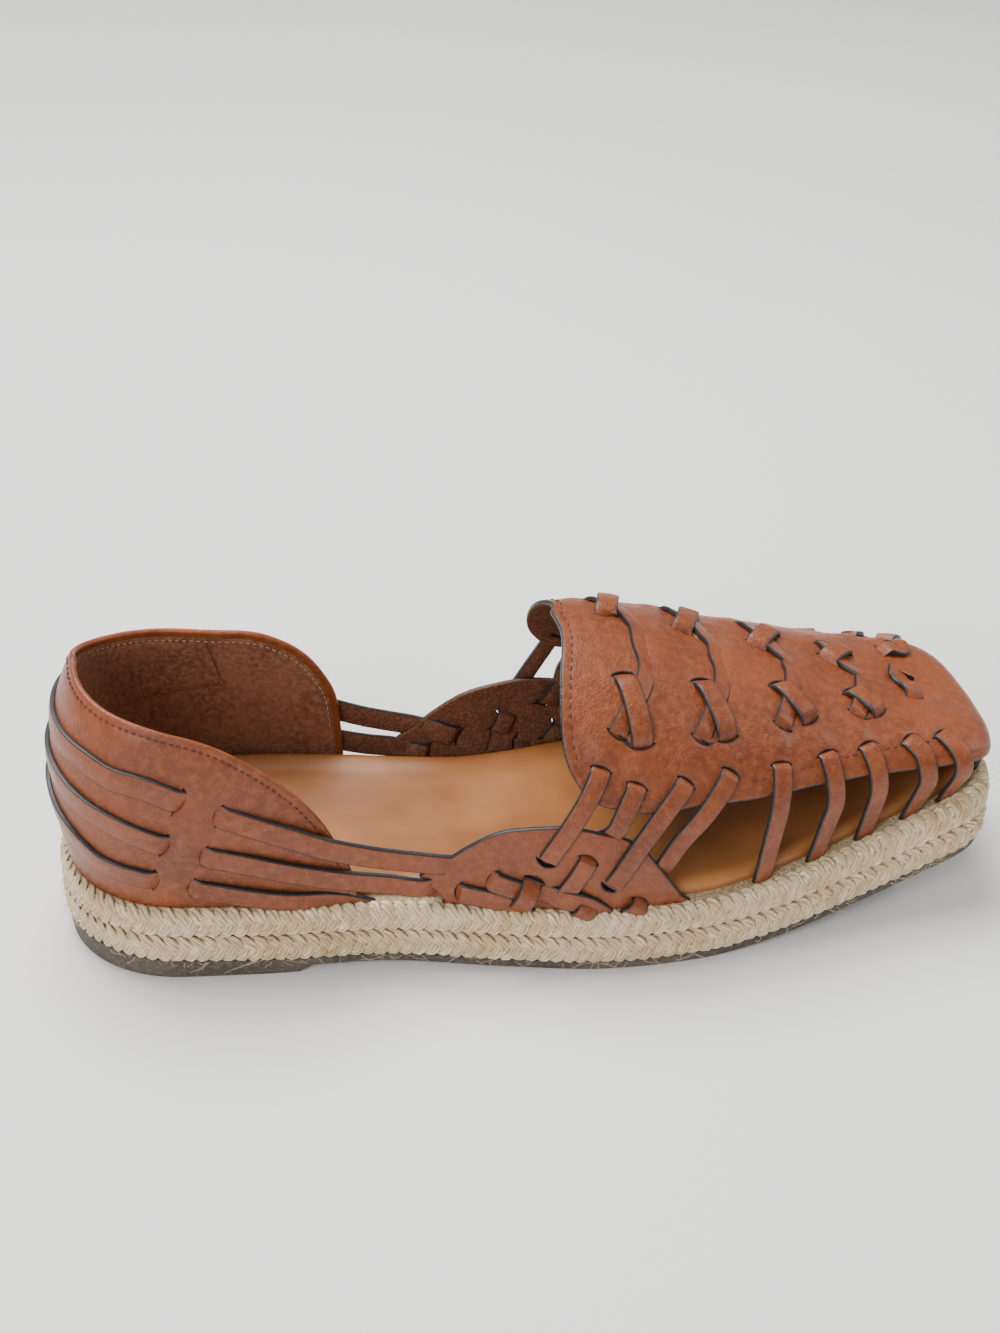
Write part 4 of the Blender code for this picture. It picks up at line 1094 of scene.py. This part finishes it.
# how the four slats of the lattice weave after their start, and how far the rest stand clear of the sole
LATTICE_HEIGHTS = [
    [(.565, 1.5), (.60, -1.9), (.70, -1.9), (.73, 1.45), (.93, 1.4), (1, .8)],
    [(.26, 1.5), (.32, .3), (.38, -1.75), (.50, -1.9), (.54, 1.45), (.785, 1.45), (.83, -1.9), (1, -2.2)],
    [(.68, 1.5), (.72, -1.9), (.815, -1.9), (.85, 1.45), (1, .9)],
    [(.28, 1.5), (.45, .3), (.62, -.2), (.69, -1.75), (.83, -1.9), (.86, 1.45), (.95, 1.3), (1, .8)],
]
CLEAR_SHARES = [0.33, 0.34, 0.38, 0.42, 0.48]
TOE_SLATS = [
    [(0.938, -0.64), (0.935, UNDER_SOLE)],
    [(0.979, -0.70), (0.978, UNDER_SOLE)],
]
for number, slat in enumerate(SLATS):
    if number < len(LATTICE_HEIGHTS):
        heights = SLAT_START + LATTICE_HEIGHTS[number]
    else:
        clear = CLEAR_SHARES[number - len(LATTICE_HEIGHTS)]
        heights = [(0, -1.2), (.045, 1.2), (.10, 1.5), (clear, 1.45), (clear + .17, .3), (1, 0)]
    for name, side in SIDES:
        strap(f"{name}_slat_{number + 1}", sided(slat, side), heights)
for number, slat in enumerate(TOE_SLATS, 1):
    for name, side in SIDES:
        strap(f"{name}_toe_slat_{number}", sided(slat, side), [(0, -1.9), (.3, -1.9), (.55, -.6), (1, 0)])

# Lacing. Bands across the plug, each tucked in at both ends, with short straps laid over them. The
# front of each band merges into the plug, and its rear edge stands proud.
for number, (crossing, pair) in enumerate(zip(CROSSINGS, LAID_STRAPS), 1):
    strap(f"crossing_band_{number}", crossing, [
        (0, -1.3), (.035, 0.6), (.10, .85), (.5, .62), (.90, .85), (.965, 0.6), (1, -1.3),
    ], lean=-0.62)
    for name, line in zip(("outer", "inner"), pair):
        strap(f"{name}_laid_strap_{number}", line, [
            (0, -1.5), (.12, 1.2), (.30, 2.3), (.62, 2.3), (.88, 1.2), (1, -1.5),
        ], width=LAID_STRAP_WIDTH)
for name, line in zip(("outer", "inner"), TOE_LOOPS):
    strap(f"{name}_toe_loop", line, [(0, -1.5), (.13, 1.2), (.5, 1.4), (.87, 1.2), (1, -1.5)])

# Studio. A pale floor, a large soft light overhead and weaker ones in front and to the right.
floor_mesh = bpy.data.meshes.new("floor")
floor_mesh.from_pydata([(-4, -3, 0), (4, -3, 0), (4, 5, 0), (-4, 5, 0)], [], [(0, 1, 2, 3)])
floor = bpy.data.objects.new("floor", floor_mesh)
bpy.context.scene.collection.objects.link(floor)
pale_floor, tree, shader = new_finish("pale_floor", specular=0.2)
tone = blend_colours(tree, noise(tree, 3, 2), (0.80, 0.797, 0.785), (0.86, 0.857, 0.845))
tree.links.new(tone, shader.inputs["Base Color"])
shader.inputs["Roughness"].default_value = 0.7
floor_mesh.materials.append(pale_floor)

world = bpy.data.worlds.new("studio")
bpy.context.scene.world = world
world.use_nodes = True
sky = world.node_tree.nodes["Background"]
sky.inputs["Color"].default_value = (1.0, 0.98, 0.96, 1)
sky.inputs["Strength"].default_value = 0.42

target = Vector((0.0, 0.0, 0.04))
for name, place, size, power in (
    ("overhead", (-0.25, 0.35, 1.1), 0.8, 24),
    ("front", (-0.7, -1.0, 0.8), 0.8, 13),
    ("right", (1.0, 0.1, 0.6), 0.6, 3),
):
    lamp = bpy.data.lights.new(name, "AREA")
    lamp.shape = "DISK"
    lamp.size = size
    lamp.energy = power
    light = bpy.data.objects.new(name, lamp)
    light.location = place
    light.rotation_euler = (target - Vector(place)).to_track_quat("-Z", "Y").to_euler()
    bpy.context.scene.collection.objects.link(light)

# The camera stands in front of the outer side, looking down on the shoe
VIEW_TARGET = np.array([0.1246, 0, 0.0745])
VIEW_DISTANCE = 0.573
VIEW_AZIMUTH, VIEW_HEIGHT, VIEW_ROLL = np.radians(-7.5), np.radians(33.6), np.radians(0.8)
level_back = np.array([np.sin(VIEW_AZIMUTH), -np.cos(VIEW_AZIMUTH), 0])
back = level_back * np.cos(VIEW_HEIGHT) + np.array([0, 0, np.sin(VIEW_HEIGHT)])
level = unit(np.cross(-back, (0, 0, 1)))
upright = np.cross(level, -back)
right = level * np.cos(VIEW_ROLL) + upright * np.sin(VIEW_ROLL)
above = upright * np.cos(VIEW_ROLL) - level * np.sin(VIEW_ROLL)
lens = bpy.data.cameras.new("camera")
lens.sensor_width = 36
lens.lens = 36 * 2088 / 1333
lens.clip_start = 0.05
lens.clip_end = 20
camera = bpy.data.objects.new("camera", lens)
turn = Matrix((right, above, back)).transposed().to_4x4()
turn.translation = Vector(VIEW_TARGET + VIEW_DISTANCE * back + TO_FRAME)
camera.matrix_world = turn
bpy.context.scene.collection.objects.link(camera)
bpy.context.scene.camera = camera
